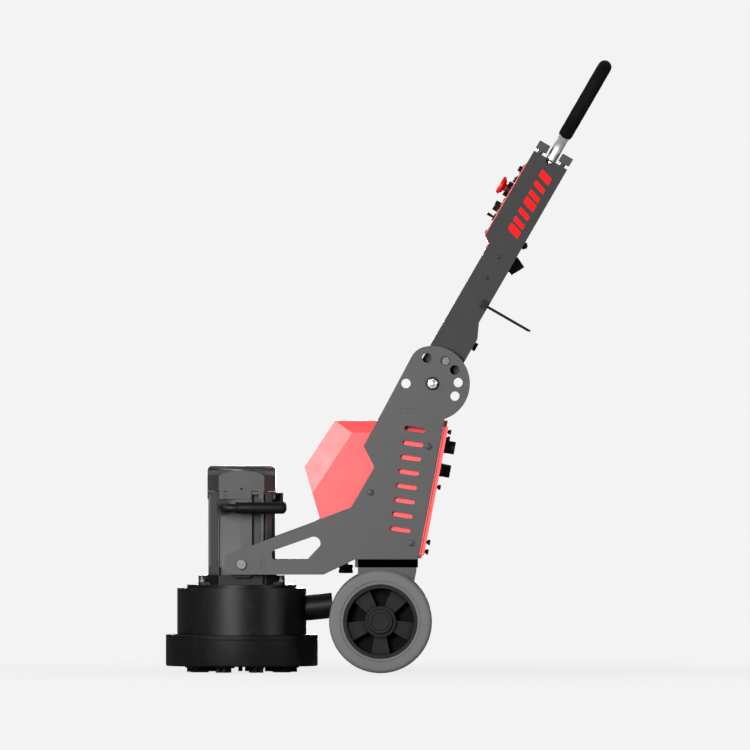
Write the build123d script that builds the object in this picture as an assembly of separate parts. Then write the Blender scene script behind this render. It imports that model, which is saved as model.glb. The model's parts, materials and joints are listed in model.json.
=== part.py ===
from build123d import *
import math
import os

# Walk-behind concrete grinder: a single-disc head on a two-wheeled frame with a folding handle.
# Millimetres, +Z up, +X from the head towards the operator, Y across the machine.
# Inside this file x is counted from the wheel axle. Every shape is moved by ROW_SHIFT at the end,
# so that the origin is on the floor under the centre of the whole machine.

# ---- driving dimensions ----
WHEEL_R = 107.9
WHEEL_IN_Y, WHEEL_OUT_Y = 120.0, 168.0
TYRE_IN_R = 77.3
RIM_IN_R = 70.4
HUB_R = 32.6
CAP_R = 25.2
SPOKES = 5
AXLE_R = 10.0
AXLE_END_Y = 160.0
INNER_BEARING_Y, OUTER_BEARING_Y, BEARING_WIDTH = 125.0, 145.0, 10.0
SEAT_R = 21.0

PLATE_IN_Y, PLATE_OUT_Y = 92.0, 98.0
PLATE_BASE_Z = 238.0
REAR_TOP = (135.0, 532.0)
REAR_FOOT = (79.0, PLATE_BASE_Z)

PIVOT = (108.8, 607.3)
PIVOT_BOLT_R = 8.0
KNUCKLE_R = 79.0
INDEX_R = 55.0
INDEX_HOLE_R = 10.0
INDEX_ANGLES = (180.0, 102.0, 60.0, 31.0, 2.0, -29.0)
ARM_TILT = 60.0

HEAD_X = -292.0
TRUNNION_Z = 227.0
TRUNNION_R = 8.0
SKIRT_R, SKIRT_TOP_Z, SKIRT_LOW_Z = 160.0, 79.0, 13.0
DRUM_R, DRUM_TOP_Z = 136.0, 177.0
COLLAR_R, COLLAR_TOP_Z = 115.0, 184.0
FLANGE_FOOT_HALF_X, FLANGE_FOOT_HALF_Y, FLANGE_FOOT_T = 91.0, 57.0, 6.0
FLANGE_HALF, FLANGE_TOP_Z = 74.0, 204.0
FLANGE_BOLT_X, FLANGE_BOLT_Y, FLANGE_BOLT_R = 83.0, 48.0, 4.5
MOTOR_HALF = 70.0
MOTOR_CORNER = 24.0
MOTOR_TOP_Z = 380.0
COWL_HALF = 71.8
COWL_LOW_Z, COWL_FLAP_Z, COWL_TOP_Z = 381.0, 364.0, 434.0
PORT_R, PORT_BORE_R = 26.75, 23.5
PORT_ROOT_R, PORT_ROOT = 26.4, 11.0
PORT_LENGTH = 62.0
PORT_RISE = 5.9
PORT_Z = 134.0
DISC_R = 125.0
DISC_LOW_Z, DISC_TOP_Z = 13.0, 22.0
SHAFT_R = 12.0

ARM_HALF_Y = 75.0
CHEEK_T = 4.0
SHEET_T = 3.0
ARM_FRONT_W, ARM_REAR_W = 43.7, -35.7
HEAD_FRONT_W, HEAD_REAR_W = 59.2, -21.0
ARM_END_U = 531.0
PANEL_FROM_U, PANEL_TO_U = 325.0, 500.0
PANEL_T = 2.0
TUBE_R, TUBE_W = 11.0, 18.7
TUBE_NECK_Y, LOOP_HALF_Y = 52.0, 140.0
GRIP_R = 14.5
GRIP_FROM_U = 592.0
LOOP_END_U = 756.5
RUN = 0.05
PIN_TRAVEL = 6.5

LIFT_BAR_Z, LIFT_BAR_Y, LIFT_BAR_REAR_X = 346.0, 112.0, -204.0
LIFT_LEG_X, LIFT_GRIP_FROM_X = -332.0, -304.5
LIFT_BAR_R, LIFT_GRIP_R = 8.5, 12.5

COS_ARM = math.cos(math.radians(ARM_TILT))
SIN_ARM = math.sin(math.radians(ARM_TILT))
LOOP_END_X = PIVOT[0] + LOOP_END_U * COS_ARM - TUBE_W * SIN_ARM + GRIP_R
ROW_SHIFT = -(LOOP_END_X + HEAD_X - SKIRT_R) / 2

# The arm's own plane: local x is u, along the arm from the pivot; local y is w, towards its front.
ARM_PLANE = Plane(origin=(PIVOT[0], 0, PIVOT[1]), x_dir=(COS_ARM, 0, SIN_ARM), z_dir=(0, -1, 0))
U_DIR = Vector(COS_ARM, 0, SIN_ARM)
W_DIR = Vector(-SIN_ARM, 0, COS_ARM)

SIDES = (-1, 1)


# ---- helpers ----
def face_of(*points):
    """A flat face on a closed outline of straight sides."""
    return make_face(Polyline(*points, close=True))


def slab(profile, y_from, y_to):
    """A profile drawn in x and z, made solid between two places across the machine."""
    return Pos(0, y_to, 0) * extrude(Plane.XZ * profile, amount=y_to - y_from)


def arm_slab(profile, y_from, y_to):
    """A profile drawn in the arm's u and w, made solid between two places across the machine."""
    return Pos(0, y_to, 0) * extrude(ARM_PLANE * profile, amount=y_to - y_from)


def arm_point(u, w, y=0.0):
    """A point given in the arm's plane, as a place on the machine."""
    return Vector(PIVOT[0], y, PIVOT[1]) + U_DIR * u + W_DIR * w


def rod(start, end, radius):
    """A round bar between two points."""
    start, end = Vector(*start), Vector(*end)
    length = (end - start).length
    base = Plane(origin=start, z_dir=end - start)
    return base * Cylinder(radius, length, align=(Align.CENTER, Align.CENTER, Align.MIN))


def ring(start, end, outer, inner):
    """A round tube between two points."""
    return rod(start, end, outer) - rod(start, end, inner)


def across(x, z, radius, y_from, y_to):
    """A round bar that lies across the machine."""
    return rod((x, y_from, z), (x, y_to, z), radius)


def across_ring(x, z, outer, inner, y_from, y_to):
    return across(x, z, outer, y_from, y_to) - across(x, z, inner, y_from, y_to)


def upright(x, y, radius, z_from, z_to):
    return rod((x, y, z_from), (x, y, z_to), radius)


def block(x_from, x_to, y_from, y_to, z_from, z_to):
    size = (x_to - x_from, y_to - y_from, z_to - z_from)
    return Pos(x_from, y_from, z_from) * Box(*size, align=(Align.MIN, Align.MIN, Align.MIN))


def hexagon(start, end, flats):
    """A six-sided bar, such as a bolt's head, between two points."""
    start, end = Vector(*start), Vector(*end)
    base = Plane(origin=start, z_dir=end - start)
    return extrude(base * RegularPolygon(flats / 2, 6, major_radius=False), amount=(end - start).length)


def rear_line(z, offset):
    """The x of a line parallel to the side plate's rear edge, offset rearwards."""
    slope = (REAR_TOP[0] - REAR_FOOT[0]) / (REAR_TOP[1] - REAR_FOOT[1])
    return REAR_FOOT[0] + (z - REAR_FOOT[1]) * slope + offset * math.hypot(1, slope)


REAR_LEAN = math.degrees(math.atan2(REAR_TOP[0] - REAR_FOOT[0], REAR_TOP[1] - REAR_FOOT[1]))
REAR_NORMAL = Vector(math.cos(math.radians(REAR_LEAN)), 0, -math.sin(math.radians(REAR_LEAN)))


def on_rear(z, y, offset):
    """A point that stands off the side plate's rear edge by an offset."""
    return Vector(rear_line(z, 0), y, z) + REAR_NORMAL * offset


# ---- frame ----
PLATE_BOLTS = ((-21.2, 378.8), (100.4, 475.0), (64.9, 272.2))
TIE_SLOT = (58.8, 549.6)
TIE_LENGTH, TIE_T = 34.6, 10.0
GUSSET_X, GUSSET_Z = -247.0, 230.0
GUSSET_T, GUSSET_TAB = 7.4, 20.0
TAB_RECESS = 1.0
VENT_TOP, VENT_STEP = (72.0, 511.0), (-4.4, -30.0)
VENT_COUNT = 8
VENT_LENGTH, VENT_WIDTH, VENT_SLANT = 44.0, 10.0, -8.3


def plate_outline():
    front = [(-327, 206), (-327, 246), (-139, 316), (-126, 323), (-63, 347), (-58, 354), (-13, 432)]
    front += [(-36, 476), (6, 552)]
    knuckle_from = 117.0
    knuckle_to = math.degrees(math.atan2(REAR_TOP[1] - PIVOT[1], REAR_TOP[0] - PIVOT[0]))
    knuckle = CenterArc((PIVOT[0], PIVOT[1]), KNUCKLE_R, knuckle_from, knuckle_to - knuckle_from)
    rear = [REAR_FOOT, (-53, PLATE_BASE_Z), (-119.5, 206), front[0]]
    edges = Polyline(*front, knuckle @ 0).edges() + knuckle.edges() + Polyline(knuckle @ 1, *rear).edges()
    face = make_face(edges)
    rounds = (((-327, 206), 16.0), ((-327, 246), 7.0), ((-13, 432), 9.0), ((-36, 476), 6.0))
    for place, radius in rounds:
        face = fillet(face.vertices().sort_by_distance(Vector(*place, 0))[:1], radius)
    return fillet(face.vertices().sort_by_distance(knuckle @ 0)[:1], 40.0)


def plate_window():
    face = face_of((-228, 236.7), (-153.5, 236.7), (-90.7, 303.7), (-228, 255.7))
    face = fillet(face.vertices().sort_by_distance(Vector(-90.7, 303.7, 0))[:1], 14.0)
    for place in ((-228, 236.7), (-228, 255.7)):
        face = fillet(face.vertices().sort_by_distance(Vector(*place, 0))[:1], 8.0)
    return face


def plate_openings():
    cuts = plate_window()
    cuts += Pos(HEAD_X, TRUNNION_Z) * Circle(TRUNNION_R + RUN)
    cuts += Pos(*PIVOT) * Circle(PIVOT_BOLT_R + RUN)
    for angle in INDEX_ANGLES:
        turn = math.radians(angle)
        place = (PIVOT[0] + INDEX_R * math.cos(turn), PIVOT[1] + INDEX_R * math.sin(turn))
        cuts += Pos(*place) * Circle(INDEX_HOLE_R)
    for place in PLATE_BOLTS:
        cuts += Pos(*place) * Circle(4.0 + RUN)
    cuts += Pos(*TIE_SLOT) * Rectangle(TIE_LENGTH, TIE_T)
    cuts += Pos(GUSSET_X, GUSSET_Z) * Rectangle(GUSSET_T, GUSSET_TAB)
    for step in range(VENT_COUNT):
        x, z = VENT_TOP[0] + step * VENT_STEP[0], VENT_TOP[1] + step * VENT_STEP[1]
        cuts += Pos(x, z) * Rot(0, 0, VENT_SLANT) * SlotOverall(VENT_LENGTH, VENT_WIDTH)
    return cuts


def side_plates():
    profile = plate_outline() - plate_openings()
    near = slab(profile, -PLATE_OUT_Y, -PLATE_IN_Y)
    far = slab(profile, PLATE_IN_Y, PLATE_OUT_Y)
    return {"side_plate_right": near, "side_plate_left": far}


def frame_ties():
    """The cross plate under the pivot, and the two tabbed gussets behind the head's trunnions."""
    low_z, high_z = TIE_SLOT[1] - TIE_T / 2, TIE_SLOT[1] + TIE_T / 2
    half = TIE_LENGTH / 2
    x = TIE_SLOT[0]
    reach = PLATE_OUT_Y - TAB_RECESS
    tie = block(x - half, x + half, -reach, reach, low_z, high_z)
    solids = [tie]
    for side in SIDES:
        web = slab(Pos(GUSSET_X, GUSSET_Z) * Rectangle(GUSSET_T, 30), *sorted((side * 82, side * PLATE_IN_Y)))
        tab_profile = Pos(GUSSET_X, GUSSET_Z) * Rectangle(GUSSET_T, GUSSET_TAB)
        tab = slab(tab_profile, *sorted((side * PLATE_IN_Y, side * reach)))
        solids.append(web + tab)
    return solids


def base_plate():
    return block(-47.5, 78.8, -PLATE_OUT_Y, PLATE_OUT_Y, 221, PLATE_BASE_Z)


def axle_bracket():
    top = block(-47.5, 75.6, -PLATE_OUT_Y, PLATE_OUT_Y, 214, 221)
    outline = face_of((-47.5, 214), (75.6, 214), (71, 192), (24, 92), (-24, 92), (-47.5, 168))
    bracket = top
    for side in SIDES:
        bracket += slab(outline, *sorted((side * 86, side * PLATE_OUT_Y)))
    return bracket - across(0, WHEEL_R, AXLE_R + RUN, -100, 100)


def buffer_and_beam():
    """A rubber buffer under the frame's slanted edge, and the cross beam with its stalk."""
    stalk = upright(-73, 0, 5, 226, 244)
    foot = upright(-73, 0, 15, 208, 226)
    beam = block(-90, -47.5, -PLATE_IN_Y, PLATE_IN_Y, 244, 250)
    beam += block(-53.5, -47.5, -PLATE_IN_Y, PLATE_IN_Y, 221, 244)
    return foot, beam + stalk


def axle():
    solids = [across(0, WHEEL_R, AXLE_R, -AXLE_END_Y, AXLE_END_Y)]
    for side in SIDES:
        spacer = sorted((side * (PLATE_OUT_Y + 0.2), side * (INNER_BEARING_Y - 0.4)))
        solids.append(across_ring(0, WHEEL_R, 15, AXLE_R + RUN, *spacer))
        clip_y = OUTER_BEARING_Y + BEARING_WIDTH + 0.4
        clip = sorted((side * clip_y, side * (clip_y + 3)))
        solids.append(across_ring(0, WHEEL_R, 15, AXLE_R + RUN, *clip))
    return solids


# ---- electrical enclosure between the plates ----
BOX_TOP_Z, BOX_LOW_Z = 529.0, 240.0
BOX_HALF_Y, BOX_CREST_Y = 90.0, 60.0
BOX_REAR = 7.0
BOX_SHEET = 2.0
BOX_BEVEL, BOX_TOP_DROP = 44.0, 25.0
COVER_LOW_Z, COVER_HIGH_Z, COVER_OVERLAP = 246.0, 516.0, 16.0
COVER_T, COVER_LIP_T = 3.5, 2.0
BOX_FRONT_TOP, BOX_APEX, BOX_CHIN = (-96.0, 529.0), (-159.6, 432.0), (-127.5, 324.0)


def box_profile(bevel):
    """The enclosure's side outline, with its top and its front set in by a bevel."""
    run_x, run_z = BOX_APEX[0] - BOX_FRONT_TOP[0], BOX_APEX[1] - BOX_FRONT_TOP[1]
    length = math.hypot(run_x, run_z)
    inward = (-run_z / length, run_x / length)
    chin_x, chin_z = BOX_CHIN[0] - BOX_APEX[0], BOX_CHIN[1] - BOX_APEX[1]
    top_z = BOX_TOP_Z - bevel * BOX_TOP_DROP / BOX_BEVEL
    front_x, front_z = BOX_FRONT_TOP[0] + inward[0] * bevel, BOX_FRONT_TOP[1] + inward[1] * bevel
    slide = (top_z - front_z) / run_z
    corner = (front_x + run_x * slide, top_z)
    along = bevel / (chin_x * inward[0] + chin_z * inward[1])
    apex = (BOX_APEX[0] + chin_x * along, BOX_APEX[1] + chin_z * along)
    rear_top = (rear_line(top_z, BOX_REAR), top_z)
    rear_low = (rear_line(BOX_LOW_Z, BOX_REAR), BOX_LOW_Z)
    return face_of(rear_top, corner, apex, BOX_CHIN, (-50, 324), (-34, BOX_LOW_Z), rear_low)


def box_body(half_y, crest_y, inset):
    """The enclosure as a solid: a straight middle, and a bevelled block at each side."""
    crest, side = box_profile(0.0), box_profile(BOX_BEVEL)
    if inset:
        crest, side = offset(crest, -inset), offset(side, -inset)
    body = slab(crest, -crest_y, crest_y)
    for sign in SIDES:
        inner_face = Pos(0, sign * crest_y, 0) * (Plane.XZ * crest)
        outer_face = Pos(0, sign * half_y, 0) * (Plane.XZ * side)
        body += loft([inner_face.face(), outer_face.face()], ruled=True)
    return body


def enclosure():
    shell = box_body(BOX_HALF_Y, BOX_CREST_Y, 0.0) - box_body(BOX_HALF_Y - BOX_SHEET, BOX_CREST_Y, BOX_SHEET)
    low, high = COVER_LOW_Z + COVER_OVERLAP, COVER_HIGH_Z - COVER_OVERLAP
    window = face_of(
        (rear_line(high, -8), high), (rear_line(high, 12), high),
        (rear_line(low, 12), low), (rear_line(low, -8), low)
    )
    shell -= slab(window, -76, 76)
    for place in PLATE_BOLTS:
        shell -= across(*place, 4.0 + RUN, -100, 100)
    return shell


# Each rear socket: its height, and its place across the machine.
SOCKETS = ((477.0, -48.0), (427.5, 38.0))


def rear_strip(offset_from, offset_to):
    """The side outline of a sheet that runs up the rear edge between two offsets from it."""
    low, high = COVER_LOW_Z, COVER_HIGH_Z
    return face_of(
        (rear_line(low, offset_from), low), (rear_line(high, offset_from), high),
        (rear_line(high, offset_to), high), (rear_line(low, offset_to), low)
    )


def rear_cover():
    """The red cover that closes the enclosure from behind, with sides folded in and out again."""
    cover = slab(rear_strip(BOX_REAR, BOX_REAR + COVER_T), -PLATE_OUT_Y, PLATE_OUT_Y)
    fold = BOX_HALF_Y + 3
    for side in SIDES:
        cover += slab(rear_strip(0.6, BOX_REAR), *sorted((side * fold, side * (fold + 1.5))))
        cover += slab(rear_strip(0.6, 0.6 + COVER_LIP_T), *sorted((side * fold, side * PLATE_OUT_Y)))
    for z, y in SOCKETS:
        cover -= rod(on_rear(z, y, BOX_REAR - 5), on_rear(z, y, BOX_REAR + 10), 11.0)
    return cover


def rear_sockets():
    """Two flanged round sockets on the rear cover: mains in, and a vacuum cleaner's outlet."""
    face = BOX_REAR + COVER_T
    solids = []
    for z, y in SOCKETS:
        base = Plane(origin=on_rear(z, y, face), x_dir=(0, 1, 0), z_dir=REAR_NORMAL)
        body = extrude(base * RectangleRounded(34, 28, 4), amount=5)
        body += rod(on_rear(z, y, face), on_rear(z, y, face + 22), 13.5)
        body += rod(on_rear(z, y, face - 9), on_rear(z, y, face), 10.5)
        body -= rod(on_rear(z, y, face + 8), on_rear(z, y, face + 23), 10.5)
        for turn in (0, 120, 240):
            angle = math.radians(turn)
            side = Vector(0, 6 * math.cos(angle), 0)
            rise = Vector(0, 0, 6 * math.sin(angle))
            start = on_rear(z, y, face + 7.9) + side + rise
            body += rod(start, start + REAR_NORMAL * 9, 1.6)
        solids.append(body)
    return solids


COVER_SCREWS = ((508.0, 84.0), (494.0, 84.0), (392.0, 84.0), (276.0, 84.0), (256.0, 84.0))


def frame_screws():
    """Button-head bolts through both side plates, and the rear cover's thumb screws."""
    solids = []
    for side in SIDES:
        for x, z in PLATE_BOLTS:
            head = across(x, z, 7.0, *sorted((side * PLATE_OUT_Y, side * (PLATE_OUT_Y + 4))))
            edge = head.edges().filter_by(GeomType.CIRCLE).sort_by(Axis.Y)[-1 if side > 0 else 0]
            head = fillet(edge, 2.0)
            socket = hexagon((x, side * (PLATE_OUT_Y + 5), z), (x, side * (PLATE_OUT_Y + 1.5), z), 4.0)
            shank = across(x, z, 4.0, *sorted((side * (BOX_HALF_Y - 6), side * PLATE_OUT_Y)))
            solids.append(head + shank - socket)
        for z, y in COVER_SCREWS:
            start, face = BOX_REAR + COVER_T, side * y
            screw = rod(on_rear(z, face, start), on_rear(z, face, start + 3), 3.2)
            screw += rod(on_rear(z, face, start + 3), on_rear(z, face, start + 8), 5.0)
            solids.append(screw)
    return solids


def inverter():
    """The inverter on its heat sink, inside the enclosure."""
    body = block(-42, 50, -50, 50, 335, 490)
    for fin in range(9):
        y = -44 + fin * 11
        body += block(50, 64, y - 1.5, y + 1.5, 345, 480)
    return body


def enclosure_gland():
    """The gland under the enclosure's chin, where the motor's cable goes in."""
    place = (-118.0, 0.0)
    collar = hexagon((*place, 324), (*place, 316), 17)
    nose = upright(*place, 6.5, 308, 316) - upright(*place, 4.0, 306, 318)
    return collar + nose


def pivot_bolt():
    """The handle's cross bolt, with a black washer and a plain nut on each side."""
    x, z = PIVOT
    solids = [across(x, z, PIVOT_BOLT_R, -110, 110)]
    for side in SIDES:
        washer = sorted((side * (PLATE_OUT_Y + 0.2), side * (PLATE_OUT_Y + 3)))
        solids.append(across_ring(x, z, 13.9, PIVOT_BOLT_R + RUN, *washer))
        nut = hexagon((x, side * (PLATE_OUT_Y + 3), z), (x, side * 109, z), 19)
        solids.append(nut - across(x, z, PIVOT_BOLT_R + RUN, *sorted((side * 100, side * 112))))
    return solids


# ---- wheels ----
def wheel(side):
    """One wheel: a solid tyre, a five-spoke rim, its two bearings and its cap."""
    low, high = sorted((side * WHEEL_IN_Y, side * WHEEL_OUT_Y))
    z = WHEEL_R
    tyre = across_ring(0, z, WHEEL_R, TYRE_IN_R, low, high)
    shoulders = tyre.edges().filter_by(GeomType.CIRCLE).filter_by(lambda e: e.radius > WHEEL_R - 1)
    tyre = fillet(shoulders, 7.0)
    tyre -= across_ring(0, z, 96, 93, high - 1.2, high + 1) + across_ring(0, z, 96, 93, low - 1, low + 1.2)

    rim = across_ring(0, z, TYRE_IN_R - RUN, RIM_IN_R, low + 2, high - 2)
    web_span = sorted((side * (WHEEL_IN_Y + 8), side * (WHEEL_IN_Y + 13)))
    web = across_ring(0, z, RIM_IN_R + 1, HUB_R - 2, *web_span)
    hub = across(0, z, HUB_R, low + 4, high - 4)
    spoke = face_of((20, -10), (RIM_IN_R + 2, -21), (RIM_IN_R + 2, 21), (20, 10))
    rim += web + hub
    for number in range(SPOKES):
        turned = Pos(0, z) * Rot(0, 0, 270 + 72 * number) * spoke
        rim += slab(turned, *sorted((side * (WHEEL_IN_Y + 9), side * (WHEEL_OUT_Y - 10))))
    rim -= across(0, z, AXLE_R + 3, low, high)
    inner_seat = sorted((side * WHEEL_IN_Y, side * (INNER_BEARING_Y + BEARING_WIDTH)))
    outer_seat = sorted((side * OUTER_BEARING_Y, side * WHEEL_OUT_Y))
    rim -= across(0, z, SEAT_R, *inner_seat) + across(0, z, SEAT_R, *outer_seat)

    bearings = []
    for start in (INNER_BEARING_Y, OUTER_BEARING_Y):
        span = sorted((side * start, side * (start + BEARING_WIDTH)))
        bearings.append(across_ring(0, z, SEAT_R - RUN, AXLE_R + RUN, *span))

    face = side * (WHEEL_OUT_Y - 4)
    outer = side * (WHEEL_OUT_Y + 2)
    cap = across(0, z, CAP_R, *sorted((face, outer)))
    cap = fillet(cap.edges().filter_by(GeomType.CIRCLE).sort_by(Axis.Y)[-1 if side > 0 else 0], 2.5)
    cap -= across(0, z, 15.5, *sorted((face - side, face + side * 2.5)))
    cap -= across_ring(0, z, 19.5, 17.5, *sorted((outer - side * 1.2, outer + side)))
    name = "left" if side > 0 else "right"
    return {
        f"tyre_{name}": tyre,
        f"rim_{name}": rim,
        f"wheel_bearings_{name}": bearings,
        f"hub_cap_{name}": cap,
    }


# ---- head ----
def head_square(half, corner, z_from, z_to):
    """An upright square bar with its corners cut off, on the head's axis."""
    reach = half - corner
    points = [(half, -reach), (half, reach), (reach, half), (-reach, half)]
    points += [(-x, -y) for x, y in points]
    return Pos(HEAD_X, 0, z_from) * extrude(face_of(*points), amount=z_to - z_from)


def head_turned(*points):
    """A solid turned about the head's axis from an outline given as radius and height."""
    outline = face_of(*points)
    return Pos(HEAD_X, 0, 0) * revolve(Plane.XZ * outline, Axis.Z)


STATOR_R = 58.0
BEARING_R = 26.0
GROOVE_FROM, GROOVE_TO, GROOVE_Y = 47.0, 52.0, -60.0
RECESS_FROM, RECESS_TO, RECESS_Y = 22.0, 41.0, -57.5
SLOPE_LOW_X, SLOPE_HIGH_X, SLOPE_DEEP_Y = 5.0, -9.0, -57.0


def motor_slope():
    """The wedge that leaves one half of a motor face sloping back towards its groove."""
    faces = []
    for z, edge_x in ((FLANGE_TOP_Z - 1, SLOPE_LOW_X), (MOTOR_TOP_Z - 16, SLOPE_HIGH_X)):
        front = -MOTOR_HALF - 0.5
        corners = face_of((-GROOVE_FROM, front), (edge_x, front), (-GROOVE_FROM, SLOPE_DEEP_Y))
        faces.append((Pos(0, 0, z) * corners).face())
    return loft(faces, ruled=True)


def motor_housing():
    """The motor's cast housing: a cut-cornered square with a slope and upright grooves in each face."""
    body = head_square(MOTOR_HALF, MOTOR_CORNER, FLANGE_TOP_Z, MOTOR_TOP_Z)
    slope = motor_slope()
    for turn in range(4):
        spin = Pos(HEAD_X, 0, 0) * Rot(0, 0, 90 * turn)
        front = -MOTOR_HALF - 1
        grooves = block(-GROOVE_TO, -GROOVE_FROM, front, GROOVE_Y, 222, MOTOR_TOP_Z - 6)
        grooves += block(GROOVE_FROM, GROOVE_TO, front, GROOVE_Y, 222, MOTOR_TOP_Z - 6)
        grooves += block(RECESS_FROM, RECESS_TO, front, RECESS_Y, 210, MOTOR_TOP_Z - 6)
        body -= spin * (slope + grooves)
    body -= upright(HEAD_X, 0, STATOR_R + RUN, FLANGE_TOP_Z - 1, MOTOR_TOP_Z - 12)
    body -= upright(HEAD_X, 0, BEARING_R + RUN, MOTOR_TOP_Z - 13, MOTOR_TOP_Z + 1)
    for x, y in tie_rod_places():
        body -= upright(x, y, 3.0 + RUN, FLANGE_TOP_Z - 1, MOTOR_TOP_Z + 1)
    return body


def tie_rod_places():
    reach = 61.5 * math.cos(math.radians(45)) * 1.12
    return [(HEAD_X + sx * reach, sy * reach) for sx in SIDES for sy in SIDES]


def fan_cowl():
    """The fan's pressed cover: a domed cut-cornered cap with four flaps and a slotted top."""
    shell = head_square(COWL_HALF, MOTOR_CORNER, COWL_FLAP_Z, COWL_TOP_Z)
    corner, shoulder, rim = (87.0, 411.0), (COWL_HALF, COWL_TOP_Z - 9.5), (61.5, COWL_TOP_Z)
    low = COWL_FLAP_Z - 1
    skirt = Polyline(rim, (0, COWL_TOP_Z), (0, low), (100, low), (100, 402), corner)
    slope = ThreePointArc(corner, (80.5, 419.0), shoulder)
    roll = ThreePointArc(shoulder, (69.0, COWL_TOP_Z - 3.0), rim)
    outline = make_face(skirt.edges() + slope.edges() + roll.edges())
    shell &= Pos(HEAD_X, 0, 0) * revolve(Plane.XZ * outline, Axis.Z)
    hollow = head_square(COWL_HALF - 1.5, MOTOR_CORNER - 0.6, COWL_FLAP_Z - 1, COWL_TOP_Z)
    inner_dome = head_turned(
        (0, 300), (100, 300), (100, 396), (84, 407), (68, COWL_TOP_Z - 12), (58, COWL_TOP_Z - 3),
        (0, COWL_TOP_Z - 3)
    )
    shell -= hollow & inner_dome
    for turn in range(4):
        spin = Pos(HEAD_X, 0, 0) * Rot(0, 0, 90 * turn)
        notch = block(20, 36, -80, -60, COWL_FLAP_Z - 1, COWL_LOW_Z)
        notch += block(-37, -29, -80, -60, COWL_FLAP_Z - 1, COWL_LOW_Z)
        notch += Rot(0, 0, 45) * block(-18, 18, -100, -60, COWL_FLAP_Z - 1, COWL_LOW_Z)
        shell -= spin * notch
        shell -= spin * rod((0, -80, 386), (0, -60, 386), 2.2)
    for ring_number in range(3):
        slot_r = 16 + 12 * ring_number
        for number in range(12):
            arc = Rot(0, 0, 30 * number) * Pos(slot_r, 0, COWL_TOP_Z - 6)
            shell -= Pos(HEAD_X, 0, 0) * arc * Box(7, 2.2 + 1.4 * ring_number, 14)
    shell -= block(HEAD_X + 60, HEAD_X + 80, -16, 16, COWL_FLAP_Z - 1, COWL_LOW_Z)
    return shell


def motor_stator():
    return ring((HEAD_X, 0, 232), (HEAD_X, 0, 346), STATOR_R, 38.6)


def motor_flange():
    """The motor's lower end shield: a bolted foot, a grooved body, and two trunnion lugs."""
    foot = RectangleRounded(2 * FLANGE_FOOT_HALF_X, 2 * FLANGE_FOOT_HALF_Y, 9)
    body = Pos(HEAD_X, 0, COLLAR_TOP_Z) * extrude(foot, amount=FLANGE_FOOT_T)
    body += head_square(FLANGE_HALF, MOTOR_CORNER, COLLAR_TOP_Z, FLANGE_TOP_Z)
    rib = RectangleRounded(2 * FLANGE_FOOT_HALF_X, 48, 3)
    body += Pos(HEAD_X, 0, COLLAR_TOP_Z) * extrude(rib, amount=FLANGE_TOP_Z - COLLAR_TOP_Z - 1)
    for x in (-GROOVE_TO, GROOVE_FROM - 2):
        for y_from, y_to in ((-FLANGE_HALF - 1, -63), (63, FLANGE_HALF + 1)):
            body -= block(HEAD_X + x, HEAD_X + x + 7, y_from, y_to, COLLAR_TOP_Z + 2, FLANGE_TOP_Z + 1)
    for x, y in flange_bolt_places():
        body -= upright(x, y, FLANGE_BOLT_R + RUN, COLLAR_TOP_Z - 1, FLANGE_TOP_Z)
    body -= upright(HEAD_X, 0, BEARING_R + RUN, COLLAR_TOP_Z - 1, FLANGE_TOP_Z + 1)
    outline = Pos(HEAD_X, TRUNNION_Z - 4) * RectangleRounded(44, 46, 8)
    for side in SIDES:
        body += slab(outline, *sorted((side * 70.4, side * 88)))
    return body - across(HEAD_X, TRUNNION_Z, TRUNNION_R + RUN, -100, 100)


def flange_bolt_places():
    return [(HEAD_X + sx * FLANGE_BOLT_X, sy * FLANGE_BOLT_Y) for sx in SIDES for sy in SIDES]


def motor_bearings():
    low = ring((HEAD_X, 0, COLLAR_TOP_Z + 1), (HEAD_X, 0, FLANGE_TOP_Z - 1), BEARING_R, SHAFT_R + RUN)
    high = ring((HEAD_X, 0, MOTOR_TOP_Z - 11), (HEAD_X, 0, MOTOR_TOP_Z - 1), BEARING_R, SHAFT_R + RUN)
    return [low, high]


def motor_bolts():
    """Four flange studs with their nuts, and four tie rods that run the height of the housing."""
    solids = []
    nut_z = COLLAR_TOP_Z + FLANGE_FOOT_T
    for x, y in flange_bolt_places():
        stud = upright(x, y, FLANGE_BOLT_R, DRUM_TOP_Z - 4, FLANGE_TOP_Z - 2)
        solids.append(stud + hexagon((x, y, nut_z), (x, y, nut_z + 5), 13))
    for x, y in tie_rod_places():
        stem = upright(x, y, 3.0, FLANGE_TOP_Z, MOTOR_TOP_Z)
        solids.append(stem + hexagon((x, y, MOTOR_TOP_Z), (x, y, MOTOR_TOP_Z + 4), 10))
    return solids


def dust_drum():
    """The drum over the disc, with a raised collar for the motor and an opening for the port."""
    wall = 3.0
    body = upright(HEAD_X, 0, DRUM_R, SKIRT_TOP_Z - 12, DRUM_TOP_Z)
    body += upright(HEAD_X, 0, COLLAR_R, DRUM_TOP_Z, COLLAR_TOP_Z)
    body -= upright(HEAD_X, 0, DRUM_R - wall, SKIRT_TOP_Z - 13, DRUM_TOP_Z - 5)
    body -= upright(HEAD_X, 0, 30, SKIRT_TOP_Z, COLLAR_TOP_Z + 1)
    for x, y in flange_bolt_places():
        body -= upright(x, y, FLANGE_BOLT_R + RUN, DRUM_TOP_Z - 8, COLLAR_TOP_Z + 1)
    start, end = port_line()
    return body - rod(start - (end - start) * 0.3, end, PORT_ROOT_R + RUN)


def port_line():
    """The dust port's axis, from inside the drum to its open end."""
    rise = math.radians(PORT_RISE)
    base = Vector(HEAD_X + DRUM_R - 6, 0, PORT_Z)
    return base, base + Vector(math.cos(rise), 0, math.sin(rise)) * PORT_LENGTH


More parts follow.
